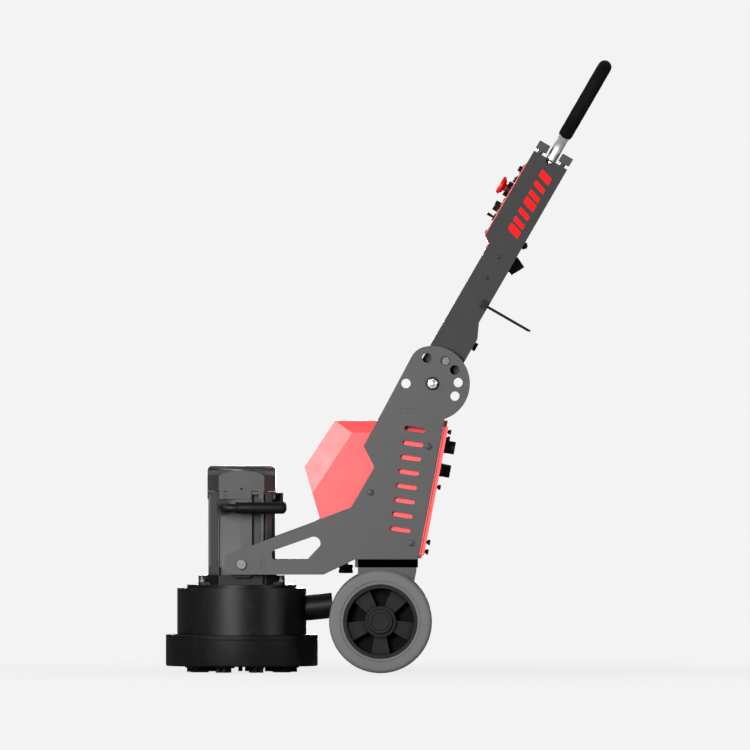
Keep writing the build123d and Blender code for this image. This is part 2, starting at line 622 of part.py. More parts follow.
def dust_port():
    """The hose port: a slimmer root through the drum's wall, then the sleeve that takes the cuff."""
    start, end = port_line()
    away = (end - start).normalized()
    root = start + away * PORT_ROOT
    body = rod(start, root, PORT_ROOT_R) + rod(root, end, PORT_R)
    return body - rod(start - away, end + away, PORT_BORE_R)


def dust_skirt():
    """The rubber skirt that hangs round the drum's foot, over a steel band."""
    return head_turned(
        (SKIRT_R, SKIRT_LOW_Z), (SKIRT_R, SKIRT_TOP_Z), (DRUM_R + RUN, SKIRT_TOP_Z),
        (DRUM_R + RUN, SKIRT_TOP_Z - 5), (SKIRT_R - 6, SKIRT_TOP_Z - 5), (SKIRT_R - 6, SKIRT_LOW_Z)
    )


def trunnion_pins():
    solids = []
    for side in SIDES:
        shank = across(HEAD_X, TRUNNION_Z, TRUNNION_R, *sorted((side * 71, side * (PLATE_OUT_Y + 1))))
        head_span = sorted((side * (PLATE_OUT_Y + 0.4), side * (PLATE_OUT_Y + 5)))
        head = across(HEAD_X, TRUNNION_Z, 10.5, *head_span)
        edge = head.edges().filter_by(GeomType.CIRCLE).sort_by(Axis.Y)[-1 if side > 0 else 0]
        solids.append(shank + fillet(edge, 1.5))
    return solids


def lift_path(side):
    """The centre line of one lifting handle: out of the motor's side, then rearwards beside it."""
    leg_x = LIFT_LEG_X
    corners = [(leg_x, MOTOR_HALF + 0.2), (leg_x, LIFT_BAR_Y), (LIFT_BAR_REAR_X, LIFT_BAR_Y)]
    return FilletPolyline(*[(x, side * y, LIFT_BAR_Z) for x, y in corners], radius=20)


def lift_bars():
    solids = []
    for side in SIDES:
        path = lift_path(side)
        bar = sweep(Plane(origin=path @ 0, z_dir=path % 0) * Circle(LIFT_BAR_R), path=path)
        foot = Pos(LIFT_LEG_X, LIFT_BAR_Z) * RectangleRounded(20, 26, 4)
        foot_span = sorted((side * (MOTOR_HALF + 0.2), side * (MOTOR_HALF + 4)))
        solids.append(bar + slab(foot, *foot_span))
    return solids


def lift_grips():
    """The rubber sleeves on the lifting handles, with rounded ends."""
    solids = []
    for side in SIDES:
        y, z = side * LIFT_BAR_Y, LIFT_BAR_Z
        end_x = LIFT_BAR_REAR_X + 6
        sleeve = rod((LIFT_GRIP_FROM_X, y, z), (end_x, y, z), LIFT_GRIP_R)
        ends = sleeve.edges().filter_by(GeomType.CIRCLE).sort_by(Axis.X)
        sleeve = fillet(ends[-1], 8.0)
        sleeve = fillet(sleeve.edges().filter_by(GeomType.CIRCLE).sort_by(Axis.X)[0], 1.5)
        solids.append(sleeve - rod((LIFT_GRIP_FROM_X - 1, y, z), (LIFT_BAR_REAR_X, y, z), LIFT_BAR_R))
    return solids


def motor_gland():
    """The block at the back of the motor where its cable comes out."""
    x = HEAD_X + MOTOR_HALF
    body = block(x, x + 17, -11, 11, 359, 377)
    nose = rod((x + 10, 11, 368), (x + 10, 22, 368), 6.5) - rod((x + 10, 15, 368), (x + 10, 23, 368), 4.0)
    return body + nose


# ---- rotor and disc ----
SEGMENTS = 9


def rotor_shaft():
    return upright(HEAD_X, 0, SHAFT_R, 34, 408)


def rotor_core():
    return ring((HEAD_X, 0, 234), (HEAD_X, 0, 344), 38.0, SHAFT_R + RUN)


def cooling_fan():
    fan = ring((HEAD_X, 0, 386), (HEAD_X, 0, 404), 20, SHAFT_R + RUN)
    fan += ring((HEAD_X, 0, 386), (HEAD_X, 0, 389), 52, SHAFT_R + RUN)
    for number in range(7):
        blade = block(18, 52, -1.5, 1.5, 386, 404)
        fan += Pos(HEAD_X, 0, 0) * Rot(0, 0, number * 360 / 7) * blade
    return fan


def disc_adapter():
    body = upright(HEAD_X, 0, 55, DISC_TOP_Z, DISC_TOP_Z + 10) + upright(HEAD_X, 0, 28, DISC_TOP_Z + 10, 78)
    return body - upright(HEAD_X, 0, SHAFT_R + RUN, 34 - RUN, 80)


def grinding_disc():
    disc = upright(HEAD_X, 0, DISC_R, DISC_LOW_Z, DISC_TOP_Z)
    for number in range(6):
        turn = math.radians(60 * number + 30)
        disc -= upright(HEAD_X + 85 * math.cos(turn), 85 * math.sin(turn), 9, DISC_LOW_Z - 1, DISC_TOP_Z + 1)
    return disc


def diamond_segments():
    """Trapezoid diamond shoes under the disc; the machine stands on them."""
    solids = []
    shoe = face_of((-20, -17), (20, -12), (20, 12), (-20, 17))
    bar = Rectangle(32, 8)
    for number in range(SEGMENTS):
        turn = Rot(0, 0, 360 / SEGMENTS * number + 8) * Pos(100, 0, 0)
        plate = extrude(Pos(0, 0, 9) * shoe, amount=4)
        plate += extrude(Pos(0, 7, 0) * bar, amount=9) + extrude(Pos(0, -7, 0) * bar, amount=9)
        solids.append(Pos(HEAD_X, 0, 0) * turn * plate)
    return solids


# ---- handle ----
# Each control on the panel: place along the arm, place across it, radius of what passes the sheet.
CONTROLS = {
    "estop_cap": (434.0, -38.0, 8.0),
    "start_button": (459.0, 20.0, 7.0),
    "stop_button": (484.0, -10.0, 6.0),
    "speed_knob": (392.0, 30.0, 4.0),
    "direction_switch": (368.0, -30.0, 5.0),
}
KNOB_U = 112.0
PANEL_OUT_W = HEAD_FRONT_W + PANEL_T


def arm_outline():
    """The arm's side outline: a slim lower arm with a round end, and a deeper control head."""
    round_r = (ARM_FRONT_W - ARM_REAR_W) / 2
    round_w = (ARM_FRONT_W + ARM_REAR_W) / 2
    body = face_of(
        (0, ARM_FRONT_W), (316, ARM_FRONT_W), (326, HEAD_FRONT_W), (ARM_END_U, HEAD_FRONT_W),
        (ARM_END_U, HEAD_REAR_W), (160, HEAD_REAR_W), (128, ARM_REAR_W), (0, ARM_REAR_W)
    )
    return body + Pos(0, round_w) * Circle(round_r)


def arm_cheeks():
    """Both cheeks, welded to the tube round the cross bolt and to the lock pins' guides."""
    profile = arm_outline() - Pos(ARM_END_U, TUBE_W) * Circle(10.0)
    reach = PLATE_IN_Y - 0.5
    frame = rod(arm_point(0, 0, -reach), arm_point(0, 0, reach), 14.0)
    for side in SIDES:
        frame += arm_slab(profile, *sorted((side * (ARM_HALF_Y - CHEEK_T), side * ARM_HALF_Y)))
        frame += rod(arm_point(INDEX_R, 0, side * 40), arm_point(INDEX_R, 0, side * (reach - 0.5)), 14.0)
    frame -= rod(arm_point(0, 0, -100), arm_point(0, 0, 100), PIVOT_BOLT_R + RUN)
    return frame - rod(arm_point(INDEX_R, 0, -100), arm_point(INDEX_R, 0, 100), INDEX_HOLE_R - 0.1 + RUN)


def arm_channel():
    """The folded sheet between the cheeks: front, rear and both ends."""
    half = ARM_HALF_Y - CHEEK_T
    outline = arm_outline()
    channel = arm_slab(outline, -half, half) - arm_slab(offset(outline, -SHEET_T), -half - 1, half + 1)
    for side in SIDES:
        start, end = [arm_point(ARM_END_U + along, TUBE_W, side * TUBE_NECK_Y) for along in (-10, 10)]
        channel -= rod(start, end, TUBE_R + RUN)
    for u, y, radius in CONTROLS.values():
        channel -= rod(arm_point(u, HEAD_FRONT_W - 8, y), arm_point(u, HEAD_FRONT_W + 8, y), radius + 2)
    knob_hole = arm_point(KNOB_U, ARM_REAR_W - 5), arm_point(KNOB_U, ARM_REAR_W + 8)
    return channel - rod(*knob_hole, 4 + RUN)


def control_panel():
    """The red cover on the arm's front, folded over at its lower end."""
    half = ARM_HALF_Y - 1
    panel = arm_slab(face_of(
        (PANEL_FROM_U + 0.8, HEAD_FRONT_W + 0.1), (PANEL_TO_U, HEAD_FRONT_W + 0.1),
        (PANEL_TO_U, PANEL_OUT_W), (PANEL_FROM_U, PANEL_OUT_W),
        (PANEL_FROM_U - 11, ARM_FRONT_W + PANEL_T), (PANEL_FROM_U - 23, ARM_FRONT_W + PANEL_T),
        (PANEL_FROM_U - 23, ARM_FRONT_W + 0.1), (PANEL_FROM_U - 9.2, ARM_FRONT_W + 0.1)
    ), -half, half)
    for name, (u, y, radius) in CONTROLS.items():
        clear = radius + (0.5 if name == "direction_switch" else RUN)
        panel -= rod(arm_point(u, HEAD_FRONT_W - 8, y), arm_point(u, PANEL_OUT_W + 5, y), clear)
    return panel


def panel_fittings():
    """What stands on the panel and doesn't move: bezels, the stop's base, and the display frame."""
    out = PANEL_OUT_W
    solids = []
    u, y, radius = CONTROLS["estop_cap"]
    base = ring(arm_point(u, out, y), arm_point(u, out + 10, y), 16.5, radius + RUN)
    solids.append(base)
    for name, bezel_r in (("start_button", 11.0), ("stop_button", 9.5)):
        u, y, radius = CONTROLS[name]
        solids.append(ring(arm_point(u, out, y), arm_point(u, out + 2, y), bezel_r, radius + RUN))
    u, y, _ = CONTROLS["direction_switch"]
    solids.append(ring(arm_point(u, out, y), arm_point(u, out + 3, y), 8.0, 5.6))
    u, y, _ = CONTROLS["speed_knob"]
    solids.append(ring(arm_point(u, out, y), arm_point(u, out + 1.5, y), 15.0, 4 + RUN))
    return solids


def control_box():
    """The contactor and terminal block inside the control head."""
    return arm_slab(face_of((340, -14), (420, -14), (420, 22), (340, 22)), -40, 40)


def handle_path():
    """The D-shaped loop's centre line: two necks in the arm, then out to the full width."""
    corners = [(512, TUBE_NECK_Y), (566, TUBE_NECK_Y), (636, LOOP_HALF_Y), (LOOP_END_U, LOOP_HALF_Y)]
    right = [arm_point(u, TUBE_W, -y) for u, y in corners]
    left = [arm_point(u, TUBE_W, y) for u, y in reversed(corners)]
    return FilletPolyline(*right, *left, radius=34)


def handle_loop():
    path = handle_path()
    start = Plane(origin=path @ 0, z_dir=path % 0)
    tube = sweep(start * Circle(TUBE_R), path=path)
    sleeve = sweep(start * Circle(GRIP_R), path=path) - tube
    tube -= sweep(start * Circle(TUBE_R - 2), path=path)
    keep = arm_slab(face_of((GRIP_FROM_U, -40), (900, -40), (900, 80), (GRIP_FROM_U, 80)), -200, 200)
    return {"handle_tube": tube, "handle_grip": sleeve & keep}


def tube_clamps():
    """Two clamp bars across the arm's end, held off it by short bolts."""
    solids = []
    for w_from, w_to in ((34.0, HEAD_FRONT_W), (HEAD_REAR_W, 4.0)):
        bar = face_of((538, w_from), (556, w_from), (556, w_to), (538, w_to))
        solids.append(arm_slab(bar, -ARM_HALF_Y, ARM_HALF_Y))
    for side in SIDES:
        for w in (46.0, -8.0):
            place = side * 64
            solids.append(rod(arm_point(ARM_END_U, w, place), arm_point(538, w, place), 5.0))
    return solids


def arm_bolts():
    """Black hexagon bolts on the arm's rear face, and button heads up its cheeks."""
    solids = []
    for y in (-45.0, 45.0):
        solids.append(hexagon(arm_point(348, HEAD_REAR_W, y), arm_point(348, HEAD_REAR_W - 9, y), 13))
    for side in SIDES:
        for u, w in ((250, 12), (300, 12)):
            start, end = arm_point(u, w, side * ARM_HALF_Y), arm_point(u, w, side * (ARM_HALF_Y + 1.6))
            solids.append(rod(start, end, 4.0))
    return solids


def power_socket():
    """The angled mains inlet on the arm's rear face."""
    shell = arm_slab(face_of((284, -21), (321, -21), (309, -46), (281, -31)), -20, 20)
    shell = fillet(shell.edges().filter_by(Axis.Y), 2.0)
    along = (U_DIR * -28 + W_DIR * 15).normalized()
    normal = Vector(along.Z, 0, -along.X)
    if normal.dot(W_DIR) > 0:
        normal = normal * -1
    centre = arm_point(295, -38.5)
    return shell - rod(centre - normal * 9, centre + normal * 4, 11.5)


HOOK_U = 198.0
HOOK_R = 2.25
HOOK_Y = 78.4


def cable_hook():
    """A wire loop behind the arm for the cable, clipped to both cheeks."""
    ends = [(-5.0, HOOK_Y), (-121.75, HOOK_Y)]
    right = [arm_point(HOOK_U, w, -y) for w, y in ends]
    left = [arm_point(HOOK_U, w, y) for w, y in reversed(ends)]
    path = FilletPolyline(*right, *left, radius=14)
    wire = sweep(Plane(origin=path @ 0, z_dir=path % 0) * Circle(HOOK_R), path=path)
    solids = [wire]
    for side in SIDES:
        strap = arm_slab(
            face_of((HOOK_U - 9, -4), (HOOK_U + 9, -4), (HOOK_U + 9, -19), (HOOK_U - 9, -19)),
            *sorted((side * (ARM_HALF_Y + 0.05), side * (HOOK_Y + HOOK_R + 1.5)))
        )
        groove = rod(arm_point(HOOK_U, 0, side * HOOK_Y), arm_point(HOOK_U, -30, side * HOOK_Y), HOOK_R + RUN)
        solids.append(strap - groove)
    return solids


# ---- moving controls ----
def lock_pin(side):
    """A lock pin, drawn back until its end is just inside the side plate."""
    reach = PLATE_IN_Y - 0.5
    pin = rod(arm_point(INDEX_R, 0, side * 24), arm_point(INDEX_R, 0, side * reach), INDEX_HOLE_R - 0.1)
    tip = pin.edges().filter_by(GeomType.CIRCLE).sort_by(Axis.Y)[-1 if side > 0 else 0]
    return chamfer(tip, 1.2)


def release_knob():
    head = rod(arm_point(KNOB_U, ARM_REAR_W - 0.5), arm_point(KNOB_U, ARM_REAR_W - 7.5), 9.0)
    grips = []
    for number in range(8):
        turn = math.radians(45 * number)
        place = arm_point(KNOB_U + 9.6 * math.cos(turn), ARM_REAR_W, 9.6 * math.sin(turn))
        grips.append(rod(place, place - W_DIR * 10, 1.6))
    for grip in grips:
        head -= grip
    return head + rod(arm_point(KNOB_U, ARM_REAR_W - 1), arm_point(KNOB_U, ARM_REAR_W + 12), 4.0)


def estop_cap():
    u, y, radius = CONTROLS["estop_cap"]
    out = PANEL_OUT_W
    stem = rod(arm_point(u, out - 8, y), arm_point(u, out + 15, y), radius)
    neck = Plane(origin=arm_point(u, out + 13.8, y), z_dir=W_DIR) * Cone(
        12.0, 18.0, 5.2, align=(Align.CENTER, Align.CENTER, Align.MIN)
    )
    cap = rod(arm_point(u, out + 19, y), arm_point(u, out + 25.5, y), 20.0)
    ends = cap.edges().filter_by(GeomType.CIRCLE).sort_by_distance(arm_point(u, out + 40, y))
    cap = fillet(ends[:1], 3.5)
    return stem + neck + cap


def push_button(name, proud):
    u, y, radius = CONTROLS[name]
    cap = rod(arm_point(u, PANEL_OUT_W - 8, y), arm_point(u, PANEL_OUT_W + proud, y), radius)
    top = cap.edges().filter_by(GeomType.CIRCLE).sort_by_distance(arm_point(u, PANEL_OUT_W + 30, y))
    return fillet(top[:1], 1.2)


def speed_knob():
    u, y, radius = CONTROLS["speed_knob"]
    out = PANEL_OUT_W
    knob = rod(arm_point(u, out + 1.8, y), arm_point(u, out + 13, y), 11.0)
    knob += rod(arm_point(u, out - 8, y), arm_point(u, out + 2, y), radius)
    for number in range(12):
        turn = math.radians(30 * number)
        place = arm_point(u + 11.6 * math.cos(turn), out, y + 11.6 * math.sin(turn))
        knob -= rod(place + W_DIR, place + W_DIR * 16, 1.8)
    pointer = face_of((u + 2, out + 12), (u + 10, out + 12), (u + 10, out + 14), (u + 2, out + 14))
    return knob + arm_slab(pointer, y - 0.8, y + 0.8)


SWITCH_BALL_R = 4.6


def direction_switch():
    """A toggle lever that leans fore and aft on the panel."""
    u, y, _ = CONTROLS["direction_switch"]
    out = PANEL_OUT_W
    lever = Plane(origin=arm_point(u, out, y), z_dir=W_DIR) * Sphere(SWITCH_BALL_R)
    lever += Plane(origin=arm_point(u, out, y), z_dir=W_DIR) * Cone(
        2.2, 3.4, 17, align=(Align.CENTER, Align.CENTER, Align.MIN)
    )
    return lever


# ---- all nodes ----
def build_nodes():
    """Every piece of the machine by name: one solid, or a list of separate solids."""
    nodes = {}
    nodes.update(side_plates())
    buffer, beam = buffer_and_beam()
    nodes["frame_ties"] = frame_ties() + [beam]
    nodes["rest_buffer"] = buffer
    nodes["base_plate"] = base_plate()
    nodes["axle_bracket"] = axle_bracket()
    nodes["axle"] = axle()
    nodes["enclosure"] = enclosure()
    nodes["rear_cover"] = rear_cover()
    nodes["rear_sockets"] = rear_sockets()
    nodes["frame_screws"] = frame_screws()
    nodes["inverter"] = inverter()
    nodes["enclosure_gland"] = enclosure_gland()
    nodes["pivot_bolt"] = pivot_bolt()
    for side in SIDES:
        nodes.update(wheel(side))
    nodes["motor_housing"] = motor_housing()
    nodes["fan_cowl"] = fan_cowl()
    nodes["motor_stator"] = motor_stator()
    nodes["motor_flange"] = motor_flange()
    nodes["motor_bearings"] = motor_bearings()
    nodes["motor_bolts"] = motor_bolts()
    nodes["dust_drum"] = dust_drum()
    nodes["dust_port"] = dust_port()
    nodes["dust_skirt"] = dust_skirt()
    nodes["trunnion_pins"] = trunnion_pins()
    nodes["lift_bars"] = lift_bars()
    nodes["lift_grips"] = lift_grips()
    nodes["motor_gland"] = motor_gland()
    nodes["rotor_shaft"] = rotor_shaft()
    nodes["rotor_core"] = rotor_core()
    nodes["cooling_fan"] = cooling_fan()
    nodes["disc_adapter"] = disc_adapter()
    nodes["grinding_disc"] = grinding_disc()
    nodes["diamond_segments"] = diamond_segments()
    nodes["arm_cheeks"] = arm_cheeks()
    nodes["arm_channel"] = arm_channel()
    nodes["control_panel"] = control_panel()
    nodes["panel_fittings"] = panel_fittings()
    nodes["control_box"] = control_box()
    nodes.update(handle_loop())
    nodes["tube_clamps"] = tube_clamps()
    nodes["arm_bolts"] = arm_bolts()
    nodes["power_socket"] = power_socket()
    nodes["cable_hook"] = cable_hook()
    nodes["lock_pin_right"] = lock_pin(-1)
    nodes["lock_pin_left"] = lock_pin(1)
    nodes["release_knob"] = release_knob()
    nodes["estop_cap"] = estop_cap()
    nodes["start_button"] = push_button("start_button", 5.0)
    nodes["stop_button"] = push_button("stop_button", 8.0)
    nodes["speed_knob"] = speed_knob()
    nodes["direction_switch"] = direction_switch()
    return nodes


def main():
    os.makedirs("parts", exist_ok=True)
    move = Pos(ROW_SHIFT, 0, 0)
    for name, shape in build_nodes().items():
        pieces = shape if isinstance(shape, list) else [shape]
        solids = [solid for piece in pieces for solid in (move * piece).solids()]
        shape = solids[0] if len(solids) == 1 else Compound(solids)
        export_step(shape, f"parts/{name}.step")


if __name__ == "__main__":
    main()
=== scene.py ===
import bpy
import bmesh
import json
import math
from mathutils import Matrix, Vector


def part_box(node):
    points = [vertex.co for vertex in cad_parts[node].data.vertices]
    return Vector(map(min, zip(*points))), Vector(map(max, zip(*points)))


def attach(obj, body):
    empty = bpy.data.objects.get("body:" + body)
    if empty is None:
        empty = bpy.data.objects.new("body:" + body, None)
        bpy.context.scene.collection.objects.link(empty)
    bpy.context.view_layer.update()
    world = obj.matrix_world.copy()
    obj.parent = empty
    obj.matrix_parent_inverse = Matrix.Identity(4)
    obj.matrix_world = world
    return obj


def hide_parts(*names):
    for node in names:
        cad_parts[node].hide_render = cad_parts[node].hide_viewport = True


# The looks of a walk-behind concrete grinder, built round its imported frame. Lengths are in metres.

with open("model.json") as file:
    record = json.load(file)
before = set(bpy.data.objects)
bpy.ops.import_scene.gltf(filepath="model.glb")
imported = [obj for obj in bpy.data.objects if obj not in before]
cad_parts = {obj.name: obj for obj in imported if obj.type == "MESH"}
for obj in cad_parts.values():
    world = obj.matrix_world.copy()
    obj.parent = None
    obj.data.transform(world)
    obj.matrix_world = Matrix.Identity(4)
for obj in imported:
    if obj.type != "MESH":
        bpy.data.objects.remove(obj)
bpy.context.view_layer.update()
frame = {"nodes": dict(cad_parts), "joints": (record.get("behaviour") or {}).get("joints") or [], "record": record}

MM = 0.001
SIDES = (-1, 1)


# ---- places taken from the frame ----
def joint_place(name):
    for joint in frame["joints"]:
        if joint["name"] == name:
            return Vector(joint["pos_m"])
    raise LookupError(name)


PIVOT = joint_place("handle_fold")
ARM_TILT = math.radians(60)
U_DIR = Vector((math.cos(ARM_TILT), 0, math.sin(ARM_TILT)))
W_DIR = Vector((-math.sin(ARM_TILT), 0, math.cos(ARM_TILT)))
Y_DIR = Vector((0, 1, 0))


def arm_point(u, w, y=0.0):
    """A point on the handle arm, in millimetres along it, towards its front, and across it."""
    return Vector((PIVOT.x, 0, PIVOT.z)) + (U_DIR * u + W_DIR * w + Y_DIR * y) * MM


# ---- shader helpers ----
BEVEL_SAMPLES, POCKET_SAMPLES = 6, 8
FLAT_DOT, EDGE_DOT = 0.995, 0.86


class Shader:
    """One material's node tree, with short calls for the nodes that every finish here uses."""

    def __init__(self, name):
        self.material = bpy.data.materials.new(name)
        self.material.use_nodes = True
        self.nodes = self.material.node_tree.nodes
        self.links = self.material.node_tree.links
        self.bsdf = self.nodes["Principled BSDF"]
        self.coords = self.nodes.new("ShaderNodeTexCoord").outputs["Object"]

    def set(self, **values):
        for key, value in values.items():
            self.bsdf.inputs[key.replace("_", " ")].default_value = value

    def link(self, source, target):
        self.links.new(source, self.bsdf.inputs[target])

    def stretch(self, scale):
        mapping = self.nodes.new("ShaderNodeMapping")
        mapping.inputs["Scale"].default_value = scale
        self.links.new(self.coords, mapping.inputs["Vector"])
        return mapping.outputs["Vector"]

    def noise(self, scale, detail, roughness=0.5, vector=None):
        node = self.nodes.new("ShaderNodeTexNoise")
        node.inputs["Scale"].default_value = scale
        node.inputs["Detail"].default_value = detail
        node.inputs["Roughness"].default_value = roughness
        self.links.new(vector or self.coords, node.inputs["Vector"])
        return node.outputs["Fac"]

    def cells(self, scale):
        node = self.nodes.new("ShaderNodeTexVoronoi")
        node.inputs["Scale"].default_value = scale
        self.links.new(self.coords, node.inputs["Vector"])
        return node.outputs["Distance"]

    def span(self, value, low, high, to_low=0.0, to_high=1.0):
        node = self.nodes.new("ShaderNodeMapRange")
        for key, number in (("From Min", low), ("From Max", high), ("To Min", to_low), ("To Max", to_high)):
            node.inputs[key].default_value = number
        self.links.new(value, node.inputs["Value"])
        return node.outputs["Result"]

    def math(self, operation, first, second):
        node = self.nodes.new("ShaderNodeMath")
        node.operation = operation
        node.use_clamp = operation in ("ADD", "MULTIPLY")
        for slot, value in enumerate((first, second)):
            if isinstance(value, (int, float)):
                node.inputs[slot].default_value = value
            else:
                self.links.new(value, node.inputs[slot])
        return node.outputs["Value"]

    def mix(self, factor, first, second):
        node = self.nodes.new("ShaderNodeMix")
        node.data_type = "RGBA"
        self.links.new(factor, node.inputs["Factor"])
        for key, value in (("A", first), ("B", second)):
            socket = [i for i in node.inputs if i.name == key and i.type == "RGBA"][0]
            if isinstance(value, tuple):
                socket.default_value = (*value, 1.0)
            else:
                self.links.new(value, socket)
        return [o for o in node.outputs if o.type == "RGBA"][0]

    def rounded_normal(self, radius):
        rounded = self.nodes.new("ShaderNodeBevel")
        rounded.samples = BEVEL_SAMPLES
        rounded.inputs["Radius"].default_value = radius
        return rounded.outputs["Normal"]

    def edges(self, radius):
        """How near a sharp edge is: 1 on the edge, 0 on open surface."""
        flat = self.nodes.new("ShaderNodeNewGeometry")
        dot = self.nodes.new("ShaderNodeVectorMath")
        dot.operation = "DOT_PRODUCT"
        self.links.new(self.rounded_normal(radius), dot.inputs[0])
        self.links.new(flat.outputs["Normal"], dot.inputs[1])
        return self.span(dot.outputs["Value"], FLAT_DOT, EDGE_DOT)

    def openness(self, reach, closed, opened):
        """How open the surface is within a reach: 0 down in a pocket, 1 out in the open. The finishes use it to
        paint shade into pockets.
        """
        hollow = self.nodes.new("ShaderNodeAmbientOcclusion")
        hollow.samples = POCKET_SAMPLES
        hollow.inputs["Distance"].default_value = reach
        return self.span(hollow.outputs["AO"], closed, opened)

    def relief(self, height, distance, strength, bevel=None):
        """Bump from a height, on edges that are rounded by a bevel radius."""
        bump = self.nodes.new("ShaderNodeBump")
        bump.inputs["Strength"].default_value = strength
        bump.inputs["Distance"].default_value = distance
        self.links.new(height, bump.inputs["Height"])
        if bevel:
            self.links.new(self.rounded_normal(bevel), bump.inputs["Normal"])
        self.link(bump.outputs["Normal"], "Normal")


# ---- finishes ----
DUST_ON_PAINT = (0.14, 0.138, 0.132)
DUST_ON_RUBBER = (0.12, 0.118, 0.113)
DUST_ON_CASTING = (0.12, 0.12, 0.115)
CRYSTAL = (0.2, 0.2, 0.16)


def grey(level):
    return (level, level, level)


def darker(color, factor):
    return tuple(channel * factor for channel in color)


def painted(name, color, rough, specular, worn, wear=0.35, metallic=0.0):
    """Powder coat: orange peel, faint blotches, dust, and rubbed edges."""
    s = Shader(name)
    blotch = s.span(s.noise(9.0, 4.0), 0.35, 0.7)
    dust = s.span(s.noise(60.0, 6.0, 0.7), 0.56, 0.78)
    base = s.mix(blotch, darker(color, 0.96), darker(color, 1.04))
    dusty = s.mix(s.math("MULTIPLY", dust, 0.04), base, DUST_ON_PAINT)
    chips = s.span(s.noise(240.0, 5.0, 0.75), 0.5, 0.62)
    rubbed = s.math("MULTIPLY", s.edges(0.9 * MM), s.math("MULTIPLY", chips, wear))
    s.link(s.mix(rubbed, dusty, worn), "Base Color")
    sheen = s.span(s.noise(35.0, 4.0), 0.3, 0.7, rough - 0.03, rough + 0.04)
    s.link(s.math("ADD", sheen, s.math("MULTIPLY", dust, 0.1)), "Roughness")
    s.set(Specular_IOR_Level=specular, Metallic=metallic)
    fine = s.math("MULTIPLY", s.noise(900.0, 2.0), 0.7)
    coarse = s.math("MULTIPLY", s.noise(160.0, 2.0), 0.3)
    s.relief(s.math("ADD", fine, coarse), 0.12 * MM, 0.35, bevel=0.6 * MM)
    return s.material


def bare_metal(name, color, rough, grain=(40.0, 900.0, 900.0)):
    """Plated or machined metal: fine grain lines and smudges."""
    s = Shader(name)
    lines = s.noise(1.0, 4.0, 0.6, vector=s.stretch(grain))
    smudge = s.span(s.noise(28.0, 5.0, 0.65), 0.4, 0.7)
    s.link(s.mix(smudge, darker(color, 0.82), color), "Base Color")
    s.set(Metallic=1.0)
    brushed = s.span(lines, 0.3, 0.7, rough - 0.05, rough + 0.07)
    s.link(s.math("ADD", brushed, s.math("MULTIPLY", smudge, 0.08)), "Roughness")
    s.relief(lines, 0.02 * MM, 0.3, bevel=0.35 * MM)
    return s.material


def moulded(name, color, rough, depth=0.08, specular=0.5):
    """Moulded plastic: a fine spark-eroded grain with rubbed, slightly paler corners."""
    s = Shader(name)
    blotch = s.span(s.noise(20.0, 3.0), 0.35, 0.7)
    rubbed = s.math("MULTIPLY", s.edges(1.2 * MM), 0.25)
    base = s.mix(blotch, darker(color, 0.9), darker(color, 1.12))
    polished = tuple(channel * 1.8 + 0.002 for channel in color)
    s.link(s.mix(rubbed, base, polished), "Base Color")
    s.link(s.span(s.noise(90.0, 4.0), 0.3, 0.7, rough - 0.06, rough + 0.06), "Roughness")
    s.set(Specular_IOR_Level=specular)
    s.relief(s.cells(700.0), depth * MM, 0.4, bevel=0.5 * MM)
    return s.material


def rubber(name, color, rough=0.75, dusty=0.12, specular=0.3):
    """Rubber: matt, dusty in patches, with faint flow marks and scuffs."""
    s = Shader(name)
    dust = s.span(s.noise(45.0, 6.0, 0.72), 0.48, 0.75)
    scuff = s.span(s.noise(1.0, 5.0, 0.7, vector=s.stretch((160.0, 30.0, 160.0))), 0.6, 0.72)
    base = s.mix(s.span(s.noise(7.0, 3.0), 0.3, 0.7), darker(color, 0.92), darker(color, 1.06))
    marked = s.mix(s.math("MULTIPLY", scuff, 0.1), base, darker(color, 0.55))
    s.link(s.mix(s.math("MULTIPLY", dust, dusty), marked, DUST_ON_RUBBER), "Base Color")
    s.link(s.span(dust, 0.0, 1.0, rough - 0.06, rough + 0.08), "Roughness")
    s.set(Specular_IOR_Level=specular)
    s.relief(s.noise(500.0, 4.0, 0.6), 0.15 * MM, 0.4, bevel=0.7 * MM)
    return s.material


def foam(name, color):
    """Closed-cell foam: fine open pores over a soft, matt skin; the pores are darkened with painted shade."""
    s = Shader(name)
    pores = s.span(s.cells(1300.0), 0.15, 0.6)
    crease = s.noise(90.0, 5.0, 0.6)
    # painted shade: the pores are painted darker than the skin around them
    s.link(s.mix(pores, darker(color, 0.5), darker(color, 1.25)), "Base Color")
    s.link(s.span(crease, 0.3, 0.7, 0.62, 0.82), "Roughness")
    s.set(Specular_IOR_Level=0.05, Sheen_Weight=0.005, Sheen_Roughness=0.5)
    height = s.math("ADD", s.math("MULTIPLY", pores, 0.5), s.math("MULTIPLY", crease, 0.5))
    s.relief(height, 0.35 * MM, 0.5)
    return s.material


def cast_motor(name, color):
    """Painted cast housing: sand-cast grain under a thin grey coat, with painted shade darkening its recesses."""
    s = Shader(name)
    grain = s.noise(420.0, 5.0, 0.7)
    blotch = s.span(s.noise(14.0, 4.0), 0.35, 0.7)
    dust = s.math("MULTIPLY", s.span(s.noise(70.0, 6.0, 0.7), 0.52, 0.75), 0.09)
    coat = s.mix(dust, s.mix(blotch, darker(color, 0.9), darker(color, 1.08)), DUST_ON_CASTING)
    # painted shade: the coat turns near-black down in the recesses, by an ambient-occlusion mask
    s.link(s.mix(s.openness(22 * MM, 0.45, 0.9), darker(color, 0.2), coat), "Base Color")
    s.link(s.span(grain, 0.3, 0.7, 0.36, 0.5), "Roughness")
    s.set(Metallic=0.2, Specular_IOR_Level=0.3)
    s.relief(grain, 0.2 * MM, 0.3, bevel=1.0 * MM)
    return s.material


